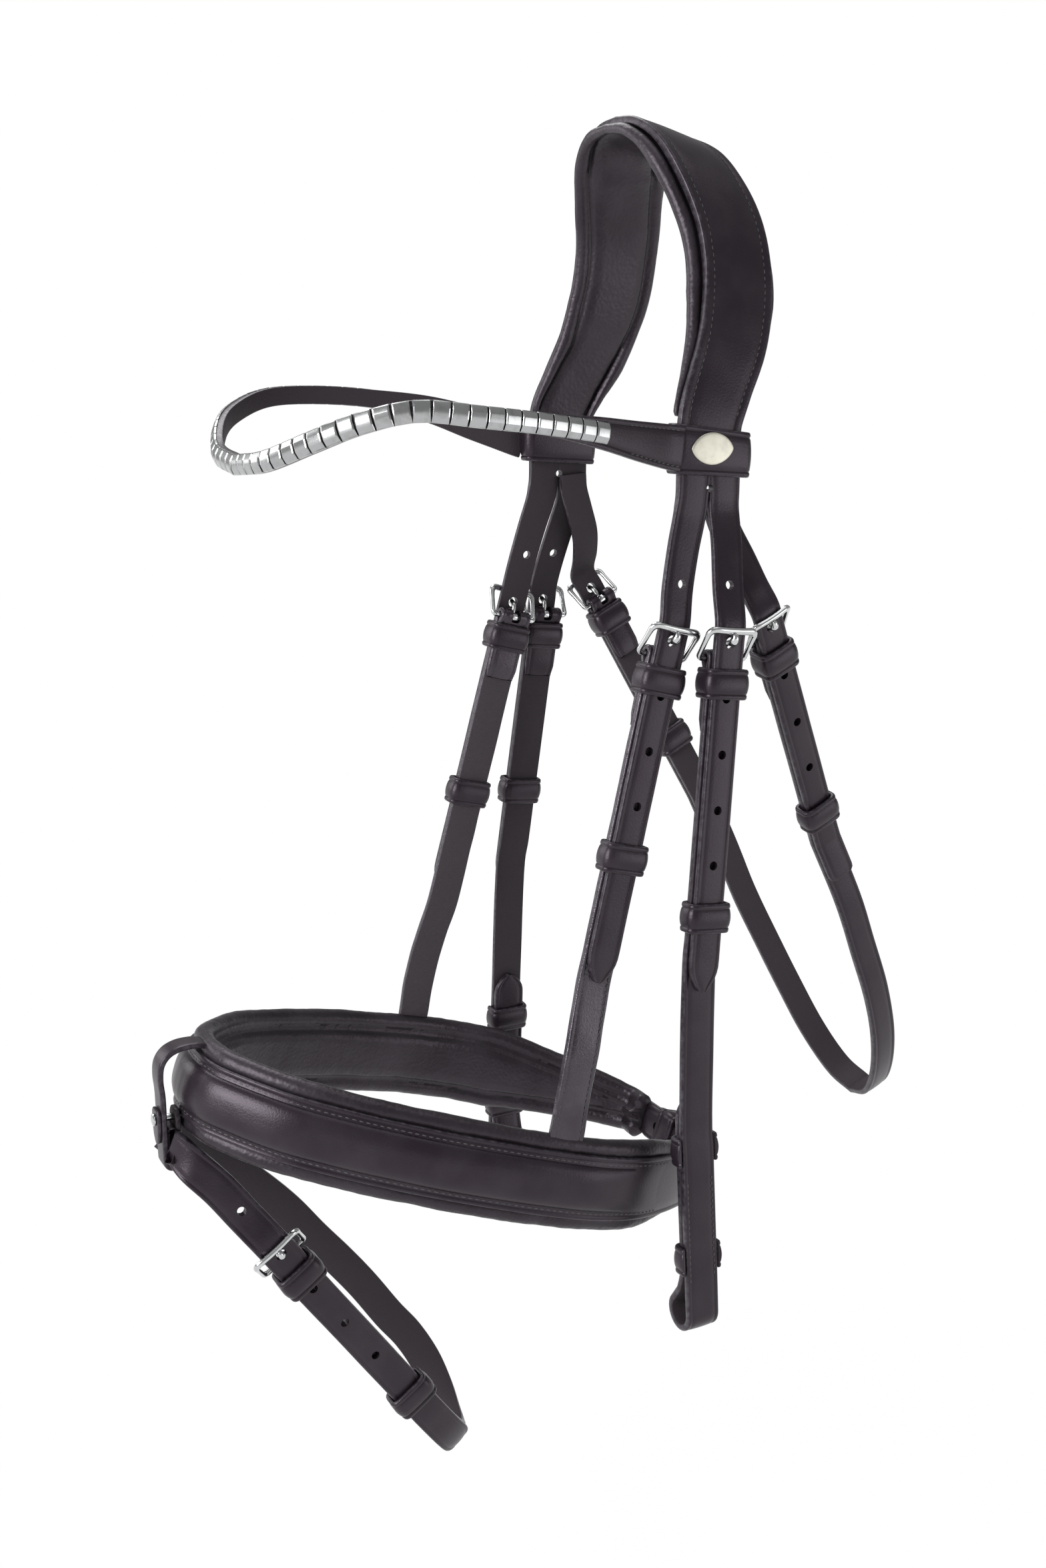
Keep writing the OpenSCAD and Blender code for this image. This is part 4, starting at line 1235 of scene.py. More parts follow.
@dataclass
class Browband:
    """The curved browband, its clincher, its loops and the blank badges."""

    height: float = 8.0
    loop_h: float = 19.0
    thick: float = 3.0
    y: float = -1.0
    z: float = -124.5
    leg_in: float = 61.6
    leg_out: float = 65.8
    clincher_end: float = -58.0
    barrel_pitch: float = 7.0

    def route(self) -> list[Row]:
        """Returns the middle of the browband from the off loop to the near one.

        It tilts a little: the last number is how far the near side hangs lower.
        """
        out = self.leg_out
        knots = [
            (0, -176, -128.5, 0), (28, -174, -125.5, 0.5), (52, -165, -117, 1.5),
            (68, -153, -110.3, 1.2), (79, -136, -105.5, 1.6), (83, -114, -106, 3.2),
            (81.5, -88, -108.2, 3.8), (77, -62, -112.3, 3.2), (71.5, -40, -117.7, 1.7),
            (out + 1.6, -25, -121.2, 0.6), (out + 0.5, self.y - 16, self.z + 1.5, 0),
        ]
        tall = [self.height] * 7 + [11.6, 15.2, 17.4, self.loop_h - 1.0]
        off, near = (
            smooth([
                row((sign * x, y, z - sign * low), h, self.thick, UP)
                for (x, y, z, low), h in zip(knots, tall)
            ], 9)
            for sign in (-1, 1)
        )
        rows = off[:0:-1] + near
        track = Track(rows)
        for i, r in enumerate(rows):
            r[:3] = track.spot(i, 0.0, self.thick / 2)
        return rows

    def loop(self) -> Mesh:
        """Returns the loop that holds one leg of the headpiece."""
        back, front = self.leg_in - self.thick / 2, self.leg_out + self.thick / 2
        wide, mid = 30.3 / 2 + self.thick / 2, self.y
        rows = []
        for x, y, start, r in (
            (front, mid + wide, 0, 1.7), (back, mid + wide, 90, 1.7),
            (back, mid - wide, 180, 2.0), (front, mid - wide, 270, 2.4),
        ):
            hub = vec(x - math.copysign(r, x - 63.5), y - math.copysign(r, y - mid), self.z)
            for k in range(6):
                turn = math.radians(start + 18 * k)
                spot = hub + r * vec(math.cos(turn), math.sin(turn), 0)
                rows.append(row(spot, self.loop_h, self.thick, UP))
        middle = rows[-1].copy()
        middle[0], middle[1] = front + 0.25, mid
        rows.append(middle)
        for r in rows:
            back = (r[1] - mid) / wide
            r[2], r[3] = self.z - 1.6 * back, self.loop_h - 0.9 * back
        return sweep(Track(rows, closed=True), BAND)

    def seams(self) -> Mesh:
        """Returns the stitching on the flared ends of the browband."""
        track = Track(self.route())
        marks = []
        for sign in (-1, 1):
            marks += track.line(
                lambda r, s=sign: s * (r[3] / 2 - 1.9), lambda r: r[4] / 2 - 0.1, 2.6,
                keep=lambda p: -46 < p[1] < -17,
            )
        return stitches(marks, 1.9, 0.65, 0.45)

    def clincher(self) -> Mesh:
        """Returns the row of polished three-sided barrels."""
        rows = []
        for x, share in ((-3.24, 0.8), (-3.05, 0.92), (-2.6, 1.0), (2.6, 1.0), (3.05, 0.92), (3.24, 0.8)):
            rows.append(row((x, 0, 0), 8.2 * (0.94 + 0.06 * share), share, TAIL))
        barrel = sweep(Track(rows), BarrelCut())
        track = Track([r for r in self.route() if r[1] < self.clincher_end])
        marks = track.line(lambda r: 0.0, lambda r: r[4] / 2 + 0.1, self.barrel_pitch)
        return scatter(barrel, marks)

    def badge(self) -> Mesh:
        """Returns the near badge: a plain pointed oval, slightly domed."""
        mesh = bmesh.new()
        bmesh.ops.create_circle(mesh, cap_ends=True, segments=72, radius=1.0)
        mid, up = self.y - 2.0, self.z + 1.5
        for vert in mesh.verts:
            a = math.atan2(vert.co.y, vert.co.x)
            y = 9.9 * math.cos(a)
            z = 6.4 * math.copysign(abs(math.sin(a)) ** 1.35, math.sin(a))
            vert.co = (self.leg_out + self.thick + 0.35, mid + y, up + z)
        face, last = next(iter(mesh.faces)), 1.0
        hub = Matrix.Translation((0, -mid, -up))
        for share, out in (
            (1.0, 0.7), (0.985, 0.15), (0.955, 0.09), (0.90, 0.07), (0.80, 0.06),
            (0.66, 0.06), (0.50, 0.05), (0.34, 0.03), (0.16, 0.02),
        ):
            grown = bmesh.ops.extrude_face_region(mesh, geom=[face])["geom"]
            if out != 0.7:
                bmesh.ops.delete(mesh, geom=[face], context="FACES_ONLY")
            top = [v for v in grown if isinstance(v, bmesh.types.BMVert)]
            face = next(f for f in grown if isinstance(f, bmesh.types.BMFace))
            ratio = share / last
            bmesh.ops.translate(mesh, verts=top, vec=(out, 0, 0))
            bmesh.ops.scale(mesh, vec=(1, ratio, ratio), space=hub, verts=top)
            last = share
        bmesh.ops.recalc_face_normals(mesh, faces=mesh.faces)
        return mesh

    def build(self, bench: Bench) -> None:
        """Makes and places the browband."""
        band = ripple(sweep(Track(softened(dense(self.route(), 3.0))), LINED), 0.1, 22.0, 5.0)
        bench.place(band, "browband_leather", Fit("browband", stands_for=("browband",)))
        bench.pair(self.loop(), "browband_loop", Fit("browband"))
        bench.place(self.seams(), "browband_stitching", Fit("browband", Finish.THREAD))
        bench.place(
            self.clincher(), "clincher_barrels",
            Fit("browband", Finish.BARREL, ("browband_clincher",), sharp=14.0),
        )
        bench.pair(self.badge(), "blank_badge", Fit("browband", Finish.BADGE, ("{side}_badge",), sharp=24.0))


@dataclass(frozen=True)
class BarrelCut:
    """A clincher barrel's cut, with a flat face and two slopes."""

    def points(self, width: float, thick: float) -> list[tuple[float, float, float]]:
        """Returns the corners; the thickness is a share of the full height."""
        half = width / 2
        shape = (
            (-1.0, -0.2), (-0.98, 0.55), (-0.9, 1.0), (-0.42, 2.0), (-0.36, 2.06),
            (0.36, 2.06), (0.42, 2.0), (0.9, 1.0), (0.98, 0.55), (1.0, -0.2),
        )
        return [(half * v, n * thick, 0.1 * k) for k, (v, n) in enumerate(shape)]


def scatter(pattern: Mesh, marks: Sequence[Matrix]) -> Mesh:
    """Copies a small mesh to every mark."""
    block = bpy.data.meshes.new("pattern")
    pattern.to_mesh(block)
    pattern.free()
    mesh = bmesh.new()
    for mark in marks:
        before = len(mesh.verts)
        mesh.from_mesh(block)
        mesh.verts.ensure_lookup_table()
        bmesh.ops.transform(mesh, matrix=mark, verts=mesh.verts[before:])
    bpy.data.meshes.remove(block)
    return mesh


# ---- Cheekpieces, hangers and throatlash ----


def punched(
    mesh: Mesh, seat: Seat, holes: Iterable[float], prong: bool = True,
    more: Mesh | None = None, folded: bool = False,
) -> Mesh:
    """Punches a billet's holes.

    Args:
        mesh: The billet.
        seat: The seat that the holes are placed from.
        holes: How far down the seat each plain hole is.
        prong: Whether to punch the hole that the prong stands in.
        more: Another tool to cut with.
        folded: Whether the billet runs into itself somewhere.

    Returns:
        The punched billet.
    """
    tool = drill(seat, holes, TRADE.hole_d)
    if prong:
        tool = joined(tool, drill(seat, [0.25], 4.9))
    if more:
        tool = joined(tool, more)
    return carve(mesh, tool, folded)


def edge_seams(rows: Sequence[Row], inset: float, keep: Callable[[np.ndarray], bool],
               pitch: float = 2.7, lift: float = -0.08) -> Mesh:
    """Sews a line of stitches by each edge of a strap."""
    track = Track(rows)
    marks = []
    for sign in (-1, 1):
        marks += track.line(
            lambda r, s=sign: s * (r[3] / 2 - inset), lambda r: r[4] / 2 + lift, pitch, keep
        )
    return stitches(marks, 0.74 * pitch, 0.62, 0.42)


@dataclass
class Cheekpiece:
    """The near cheekpiece: its billet, strap, bit loop, keepers and stud."""

    width: float = 15.5
    billet_w: float = 14.0
    tip_l: float = 146.0
    runner_u: tuple[float, float] = (114.0, 96.0)
    loop_u: float = 90.0
    loop_c: float = 6.85
    return_n: float = -4.7
    return_l: float = 99.0
    seat: Seat = field(default_factory=lambda: Seat.facing(vec(79, 0, -200), vec(88.5, -15.5, -345), TAIL))
    low: Seat = field(default_factory=lambda: Seat.facing(vec(90.5, -16, -400), vec(97.5, -15, -487), TAIL))

    def billet(self) -> Mesh:
        """Returns the rear half of the split leg, down to its point."""
        w, t = self.billet_w, TRADE.billet_t
        knots = [
            row((63.7, 5.6, -122.5), 16.3, 3.4, TAIL),
            row((63.7, 6.5, -139.5), 14.6, 3.35, TAIL), row((64.0, 6.45, -146), 14.4, 2.9, TAIL),
            row((65.4, 6.35, -152), w + 0.2, t, TAIL), row((69.5, 5, -162), w, t, TAIL),
            row((75.5, 2.3, -179), w, t, TAIL), self.seat.leaf(-8, TRADE.billet_n, w, t),
            self.seat.leaf(0, TRADE.billet_n, w, t),
        ]
        rows = smooth(knots, 7) + TRADE.tip(self.seat, self.tip_l, w, 8.0)
        mesh = ripple(strap(rows, soft=0.3, pitch=3.5), 0.1, 24.0, 11.0)
        return punched(mesh, self.seat, [-23, 23, 46, 69, 92], more=Headpiece().slit_hole(1))

    def rows(self) -> list[Row]:
        """Returns the strap's route: fold, straight, bit loop and return."""
        w, t = self.width, TRADE.strap_t
        low, c = self.low, self.loop_c
        route = TRADE.fold(self.seat, w)
        bend = smooth([
            self.seat.leaf(122, -t / 2, w, t), self.seat.leaf(140, -t / 2, w, t),
            low.leaf(0, -t / 2, w, t), low.leaf(16, -t / 2, w, t),
        ], 5)
        route += bend
        for k in range(22):
            turn = math.radians(90 - 10 * k)
            route.append(low.leaf(
                self.loop_u + c * math.cos(turn), -t / 2 - c + c * math.sin(turn), w, t))
        route += [
            low.leaf(self.loop_u - 11, (self.return_n - t / 2 - c) / 2 - 1.4, w, t),
            low.leaf(self.loop_u - 15, self.return_n - 1.6, w, t),
            low.leaf(self.loop_u - 20, self.return_n, w, t),
            low.leaf(self.loop_u - 26, self.return_n, w, t),
        ]
        for back, share in TIP:
            route.append(low.leaf(self.loop_u - self.return_l + back * 0.8, self.return_n, w * share, t))
        return route

    def strap(self) -> Mesh:
        """Returns the body of the cheekpiece."""
        mesh = ripple(strap(self.rows(), pitch=3.5), 0.1, 24.0, 2.0)
        return carve(mesh, TRADE.slot(self.seat))

    def keepers(self) -> Mesh:
        """Returns the sewn keeper and the two that hold the return."""
        floor = self.return_n - TRADE.strap_t / 2
        return joined(
            TRADE.fixed(self.seat, self.width),
            TRADE.cradle(self.low, self.loop_u - 81, self.width, floor),
            TRADE.cradle(self.low, self.loop_u - 32, self.width, floor),
        )

    def stud(self) -> Mesh:
        """Returns the hook stud through the return."""
        return button(self.low, self.loop_u - 50, self.return_n - TRADE.strap_t / 2, -1)

    def seams(self) -> Mesh:
        """Returns the stitches that close the lower end of the strap."""
        rows = dense(self.rows(), 3.0)
        start = self.low.at(self.loop_u - 62, 0)[2]
        stop = self.low.at(self.loop_u - 16, 0)[2]
        return edge_seams(rows, 1.75, lambda p: stop < p[2] < start)

    def build(self, bench: Bench) -> None:
        """Makes and places both cheekpieces."""
        body = "{side}_cheek"
        bend = (body, (63.7, 6.5, -137.5), (65.4, 6.4, -152))
        billet = Fit("headpiece", stands_for=("{side}_cheek_billet",), bend=bend)
        bench.pair(self.billet(), "cheekpiece_billet", billet)
        bench.pair(self.strap(), "cheekpiece_leather", Fit(body, stands_for=("{side}_cheek_strap",)))
        bench.pair(self.keepers(), "cheekpiece_keepers", Fit(body, stands_for=("{side}_cheek_keepers",)))
        bench.pair(self.seams(), "cheekpiece_stitching", Fit(body, Finish.THREAD))
        bench.pair(self.stud(), "cheekpiece_stud", Fit(body, Finish.STEEL, ("{side}_hook_stud",)))
        bench.runners(self, "{side}_cheek", "cheekpiece_runner")
        bench.metalwork(Buckle(self.seat), body, "{side}_cheek", ("cheekpiece_buckle", "cheekpiece_prong"))


def button(seat: Seat, u: float, n: float, way: int, head: float = 2.7, tall: float = 4.7) -> Mesh:
    """Makes a stud with a domed head.

    Args:
        seat: The seat that it is placed from.
        u: How far down the strap it stands.
        n: The face that its head lies on.
        way: One for a head that faces outward, minus one for inward.
        head: The head's radius.
        tall: The length of its post.

    Returns:
        The stud.
    """
    profile = [
        (-tall, 1.45), (-tall + 0.2, 1.5), (0.05, 1.5), (0.1, head - 0.35), (0.3, head),
        (0.7, head), (1.0, head - 0.35), (1.25, head - 1.1), (1.4, 0.5),
    ]
    rows = [row(seat.at(u, n + way * h), 2 * r, 2 * r, seat.v) for h, r in profile]
    return sweep(Track(rows), Oval(20))


@dataclass
class Hanger:
    """The near strap that carries the noseband, with its billet."""

    width: float = 15.5
    billet_w: float = 14.0
    tip_l: float = 144.0
    runner_u: tuple[float, float] = (91.0, 94.0)
    seat: Seat = field(default_factory=lambda: Seat.facing(vec(69, -21.5, -199), vec(74.5, -59, -345), TAIL))

    def billet(self) -> Mesh:
        """Returns the front half of the split leg, down to its point."""
        w, t = self.billet_w, TRADE.billet_t
        knots = [
            row((63.7, -7.6, -122.5), 16.3, 3.4, TAIL),
            row((63.7, -8.3, -139.5), 14.6, 3.35, TAIL), row((63.8, -9.1, -147), 14.8, 2.9, TAIL),
            row((64.2, -10.3, -152.5), 14.7, t, TAIL), row((65.6, -13.4, -163), w + 0.3, t, TAIL),
            row((68, -17.3, -179), w, t, TAIL), self.seat.leaf(-8, TRADE.billet_n, w, t),
            self.seat.leaf(0, TRADE.billet_n, w, t),
        ]
        rows = smooth(knots, 7) + TRADE.tip(self.seat, self.tip_l, w, 8.0)
        mesh = ripple(strap(rows, soft=0.3, pitch=3.5), 0.1, 24.0, 23.0)
        return punched(mesh, self.seat, [-23, 23, 46, 69, 92], more=Headpiece().slit_hole(1))

    def rows(self) -> list[Row]:
        """Returns the strap's route, down between the noseband and its padding."""
        w, t = self.width, TRADE.strap_t
        nose = Noseband()
        tuck = nose.tuck()
        lean = vec(0.1, 1, -0.31)
        low = [
            row(tuck.at(u, nose.tuck_n), w, t, lean)
            for u in (-nose.height / 2 - 6, -nose.height / 2, -nose.height / 2 + 9)
        ]
        bend = smooth([
            self.seat.leaf(130, -t / 2, w, t), self.seat.leaf(148, -t / 2, w, t),
            row((77, -65, -366), w, t, TAIL), row((78.3, -69.8, -385), w, t, TAIL), *low,
        ], 5)
        return TRADE.fold(self.seat, w) + bend

    def build(self, bench: Bench) -> None:
        """Makes and places both hangers."""
        bend = ("noseband", (63.7, -8.5, -137.5), (64.4, -9.4, -152))
        billet = Fit("headpiece", stands_for=("{side}_hanger_billet",), bend=bend)
        bench.pair(self.billet(), "hanger_billet_leather", billet)
        mesh = ripple(strap(self.rows(), pitch=3.0), 0.16, 11.0, 31.0)
        mesh = carve(mesh, TRADE.slot(self.seat))
        bench.pair(mesh, "hanger_leather", Fit("noseband", Finish.HANGER, ("{side}_hanger_strap",)))
        seams = edge_seams(dense(self.rows(), 3.0), 1.75, lambda p: p[2] < -302)
        bench.pair(seams, "hanger_stitching", Fit("noseband", Finish.THREAD))
        keeper = Fit("noseband", stands_for=("{side}_hanger_keeper",))
        bench.pair(TRADE.fixed(self.seat, self.width), "hanger_sewn_keeper", keeper)
        bench.runners(self, "{side}_hanger", "hanger_sliding_keeper")
        names = ("hanger_buckle_wire", "hanger_buckle_prong")
        bench.metalwork(Buckle(self.seat), "noseband", "{side}_hanger", names)


@dataclass
class Throatlash:
    """The strap that closes under the throat, buckled on both sides."""

    width: float = 13.5
    runner_u: tuple[float, float] = (102.0, 86.0)
    straight: float = 118.0
    side: np.ndarray = field(default_factory=lambda: vec(0, 0.92, 0.4))
    seat: Seat = field(
        default_factory=lambda: Seat.facing(vec(73.5, 23.5, -195), vec(57.5, 61, -270), vec(0, 0.92, 0.4))
    )

    def low(self) -> list[Row]:
        """Returns the route from the end of the straight to the middle."""
        w, t = self.width, TRADE.strap_t
        spots = [
            (50, 91, -330), (48.5, 102, -355), (45, 114, -380), (38.5, 125, -405),
            (28.5, 134, -428), (15, 141, -445), (0, 144, -451),
        ]
        start = self.seat.leaf(self.straight, -t / 2, w, t)
        start[5:8] = self.side
        return smooth([start, *[row(p, w, t, self.side) for p in spots]], 8)

    def strap(self) -> Mesh:
        """Returns the strap from one buckle to the other."""
        near = TRADE.fold(self.seat, self.width) + dense(self.low(), 4.0)
        rows = near + mirrored(near[-2::-1])
        mesh = ripple(strap(rows, pitch=3.5), 0.1, 24.0, 41.0)
        tool = TRADE.slot(self.seat)
        twin = tool.copy()
        bmesh.ops.scale(twin, vec=(-1, 1, 1), verts=twin.verts)
        bmesh.ops.reverse_faces(twin, faces=twin.faces)
        return carve(mesh, joined(tool, twin))

    def billet(self) -> Mesh:
        """Returns the near billet, from under the headpiece to its point."""
        w, t = self.width, TRADE.billet_t
        n = TRADE.billet_n
        knots = [
            row((60.5, 5.5, -139.3), w, t, self.side), row((60.6, 6.3, -147), w, t, self.side),
            row((61.8, 9.9, -157), w, t, self.side), row((65.3, 15, -168.5), w, t, self.side),
            row((70.5, 18, -179), w, t, self.side), self.seat.leaf(-8, n, w, t),
            self.seat.leaf(0, n, w, t),
        ]
        rows = smooth(knots, 7) + [self.seat.leaf(u, n, w, t) for u in (8.0, self.straight - 4)]
        rows += overlaid(self.low(), w, 21.0, SQUARE_TIP)
        mesh = ripple(strap(rows, soft=0.25, pitch=3.5), 0.1, 24.0, 51.0)
        return punched(mesh, self.seat, [25, 50, 75, 100])

    def build(self, bench: Bench) -> None:
        """Makes and places the throatlash."""
        bench.place(self.strap(), "throatlash_leather", Fit("throat", stands_for=("throatlash",)))
        bend = ("throat", (60.5, 5.5, -136.5), (60.9, 7.5, -150))
        billet = Fit("headpiece", stands_for=("{side}_throat_billet",), bend=bend)
        bench.pair(self.billet(), "throatlash_billet", billet)
        keeper = Fit("throat", stands_for=("{side}_throat_keeper",))
        bench.pair(TRADE.fixed(self.seat, self.width), "throatlash_sewn_keeper", keeper)
        bench.runners(self, "{side}_throat", "throatlash_sliding_keeper")
        names = ("throatlash_buckle_wire", "throatlash_buckle_prong")
        bench.metalwork(Buckle(self.seat, clear=17.0), "throat", "{side}_throat", names)


# ---- Noseband ----


@dataclass(frozen=True)
class DomeCut:
    """The raised panel's cut: a high dome that falls to thin sewn edges."""

    floor: float = -0.3

    def points(self, width: float, thick: float) -> list[tuple[float, float, float]]:
        """Returns the corners from the right edge over the dome and back under."""
        half = width / 2
        over = []
        for k in range(17):
            f = 1 - k / 8
            over.append((half * f, thick * max(0.0, 1 - abs(f) ** 2.7) ** 0.75))
        under = [(-half, self.floor), (-half * 0.5, self.floor), (half * 0.5, self.floor), (half, self.floor)]
        return [(v, n, v / half * 0.8) for v, n in over] + [(v, n, 0.0) for v, n in under]


@dataclass
class Noseband:
    """The padded noseband with its raised panel, closed by a buckle at the rear."""

    height: float = 28.0
    panel_h: float = 20.0
    panel_t: float = 3.1
    pad_h: float = 40.0
    pad_t: float = 9.0
    rear_w: float = 16.0
    rear_y: float = 29.5
    tuck_n: float = -4.6
    up: np.ndarray = field(default_factory=lambda: vec(0, 0.31, 0.95))

    def level(self, y: float) -> float:
        """Returns the height of the noseband's middle at a place along the head."""
        return -445 - 0.31 * y

    def tuck(self) -> Seat:
        """Returns the seat where a hanger goes down behind the leather."""
        spot = vec(82.9, -79.5, self.level(-79.5))
        return Seat.facing(spot, spot - self.up, vec(0.1, 1, -0.31))

    def rear(self) -> Seat:
        """Returns the seat of the rear buckle."""
        spot = vec(18, self.rear_y, self.level(self.rear_y))
        return Seat.facing(spot, spot - 36 * LEFT, self.up)

    def ring(self, width: Callable[[float], float], thick: float, lift: float,
             keep: Callable[[Row], bool] = lambda r: True) -> list[Row]:
        """Returns a route round the horse's nose from the off side to the near one.

        Args:
            width: The height of the leather or padding at a place along the head.
            thick: Its thickness.
            lift: How far outward of the leather's face its middle lies.
            keep: Says whether it reaches a place.

        Returns:
            The places of the route.
        """
        plan = [
            (34, 29), (47, 17), (57.5, 3), (70.5, -17), (80, -37), (84, -60), (82.8, -81),
            (79.4, -101), (74.2, -122), (67, -143), (58, -164), (45, -185), (23, -204),
            (10, -209), (0, -210),
        ]
        near, off = (
            smooth([row((x, y, self.level(y)), 1, thick, self.up) for x, y in spots], 7)
            for spots in (plan, [(21, 29.4), *plan])
        )
        rows = [r for r in mirrored(off[:-1]) + near[::-1] if keep(r)]
        track = Track(rows)
        spots = [track.spot(i, 0.0, lift) for i in range(len(rows))]
        for r, spot in zip(rows, spots):
            r[3] = width(r[1])
            r[:3] = spot
        return rows

    def taper(self, y: float) -> float:
        """Returns the leather's height, which narrows to the rear."""
        return mix(self.height, self.rear_w, clamp((y - 5) / 22))

    def leather(self) -> Mesh:
        """Returns the noseband leather with its rear fold and billet."""
        seat, w = self.rear(), self.rear_w
        rows = TRADE.fold(seat, w)
        rows += self.ring(self.taper, TRADE.strap_t, -TRADE.strap_t / 2, lambda r: r[0] < 0 or r[1] < 25)
        rows += [seat.leaf(-12, TRADE.billet_n, w, TRADE.billet_t)]
        rows += TRADE.tip(seat, 42, w)
        mesh = ripple(strap(rows, LINED, pitch=3.5), 0.12, 30.0, 61.0)
        return punched(mesh, seat, [25], more=TRADE.slot(seat), folded=True)

    def panel(self) -> Mesh:
        """Returns the raised panel."""
        rows = self.ring(lambda y: self.panel_h, self.panel_t, 0.1, lambda r: r[1] < -20)
        for r in rows:
            share = clamp((-18 - r[1]) / 54)
            r[4] *= share * share * (3 - 2 * share)
        mesh = sweep(Track(rows), DomeCut())
        return ripple(mesh, 0.25, 34.0, 71.0)

    def seams(self) -> Mesh:
        """Returns the stitching along both edges of the panel."""
        rows = self.ring(lambda y: self.panel_h, 0.0, 0.0, lambda r: r[1] < -22)
        return edge_seams(rows, -0.95, lambda p: True, pitch=2.9, lift=0.08)

    def padding(self) -> Mesh:
        """Returns the padding, with a thick roll above and below."""
        tall = lambda y: self.pad_h - 18 * max(0.0, (y + 30) / 59)
        rows = self.ring(tall, self.pad_t, 0.0, lambda r: r[0] < 0 or r[1] < 25)
        for end, inner in ((0, 1), (-1, -2)):
            tip = rows[end].copy()
            tip[:3] += unit(rows[end][:3] - rows[inner][:3]) * 1.6
            tip[3:5] = tip[3] - 4.0, 4.0
            rows.insert(0 if end == 0 else len(rows), tip)
        mesh = sweep(Track(dense(rows, 3.0)), PadCut(roll=4.1, gap=3.1, channel=2.2, lift=1.6))
        return ripple(ripple(mesh, 0.5, 21.0, 81.0), 0.2, 4.5, 87.0)

    def build(self, bench: Bench) -> None:
        """Makes and places the noseband."""
        bench.place(self.leather(), "nose_leather", Fit("noseband", stands_for=("noseband_leather",)))
        bench.place(self.panel(), "nose_panel", Fit("noseband", stands_for=("noseband_panel",), sharp=60))
        bench.place(self.seams(), "nose_stitching", Fit("noseband", Finish.THREAD))
        bench.place(
            self.padding(), "nose_padding",
            Fit("noseband", Finish.PADDING, ("noseband_padding",), fill=0.8, sharp=60),
        )
        seat = self.rear()
        keeper = Fit("noseband", stands_for=("noseband_keeper",))
        bench.place(TRADE.fixed(seat, self.rear_w), "nose_rear_keeper", keeper)
        bench.metalwork(Buckle(seat), "noseband", "noseband", ("nose_buckle_wire", "nose_buckle_prong"))


# ---- Flash ----


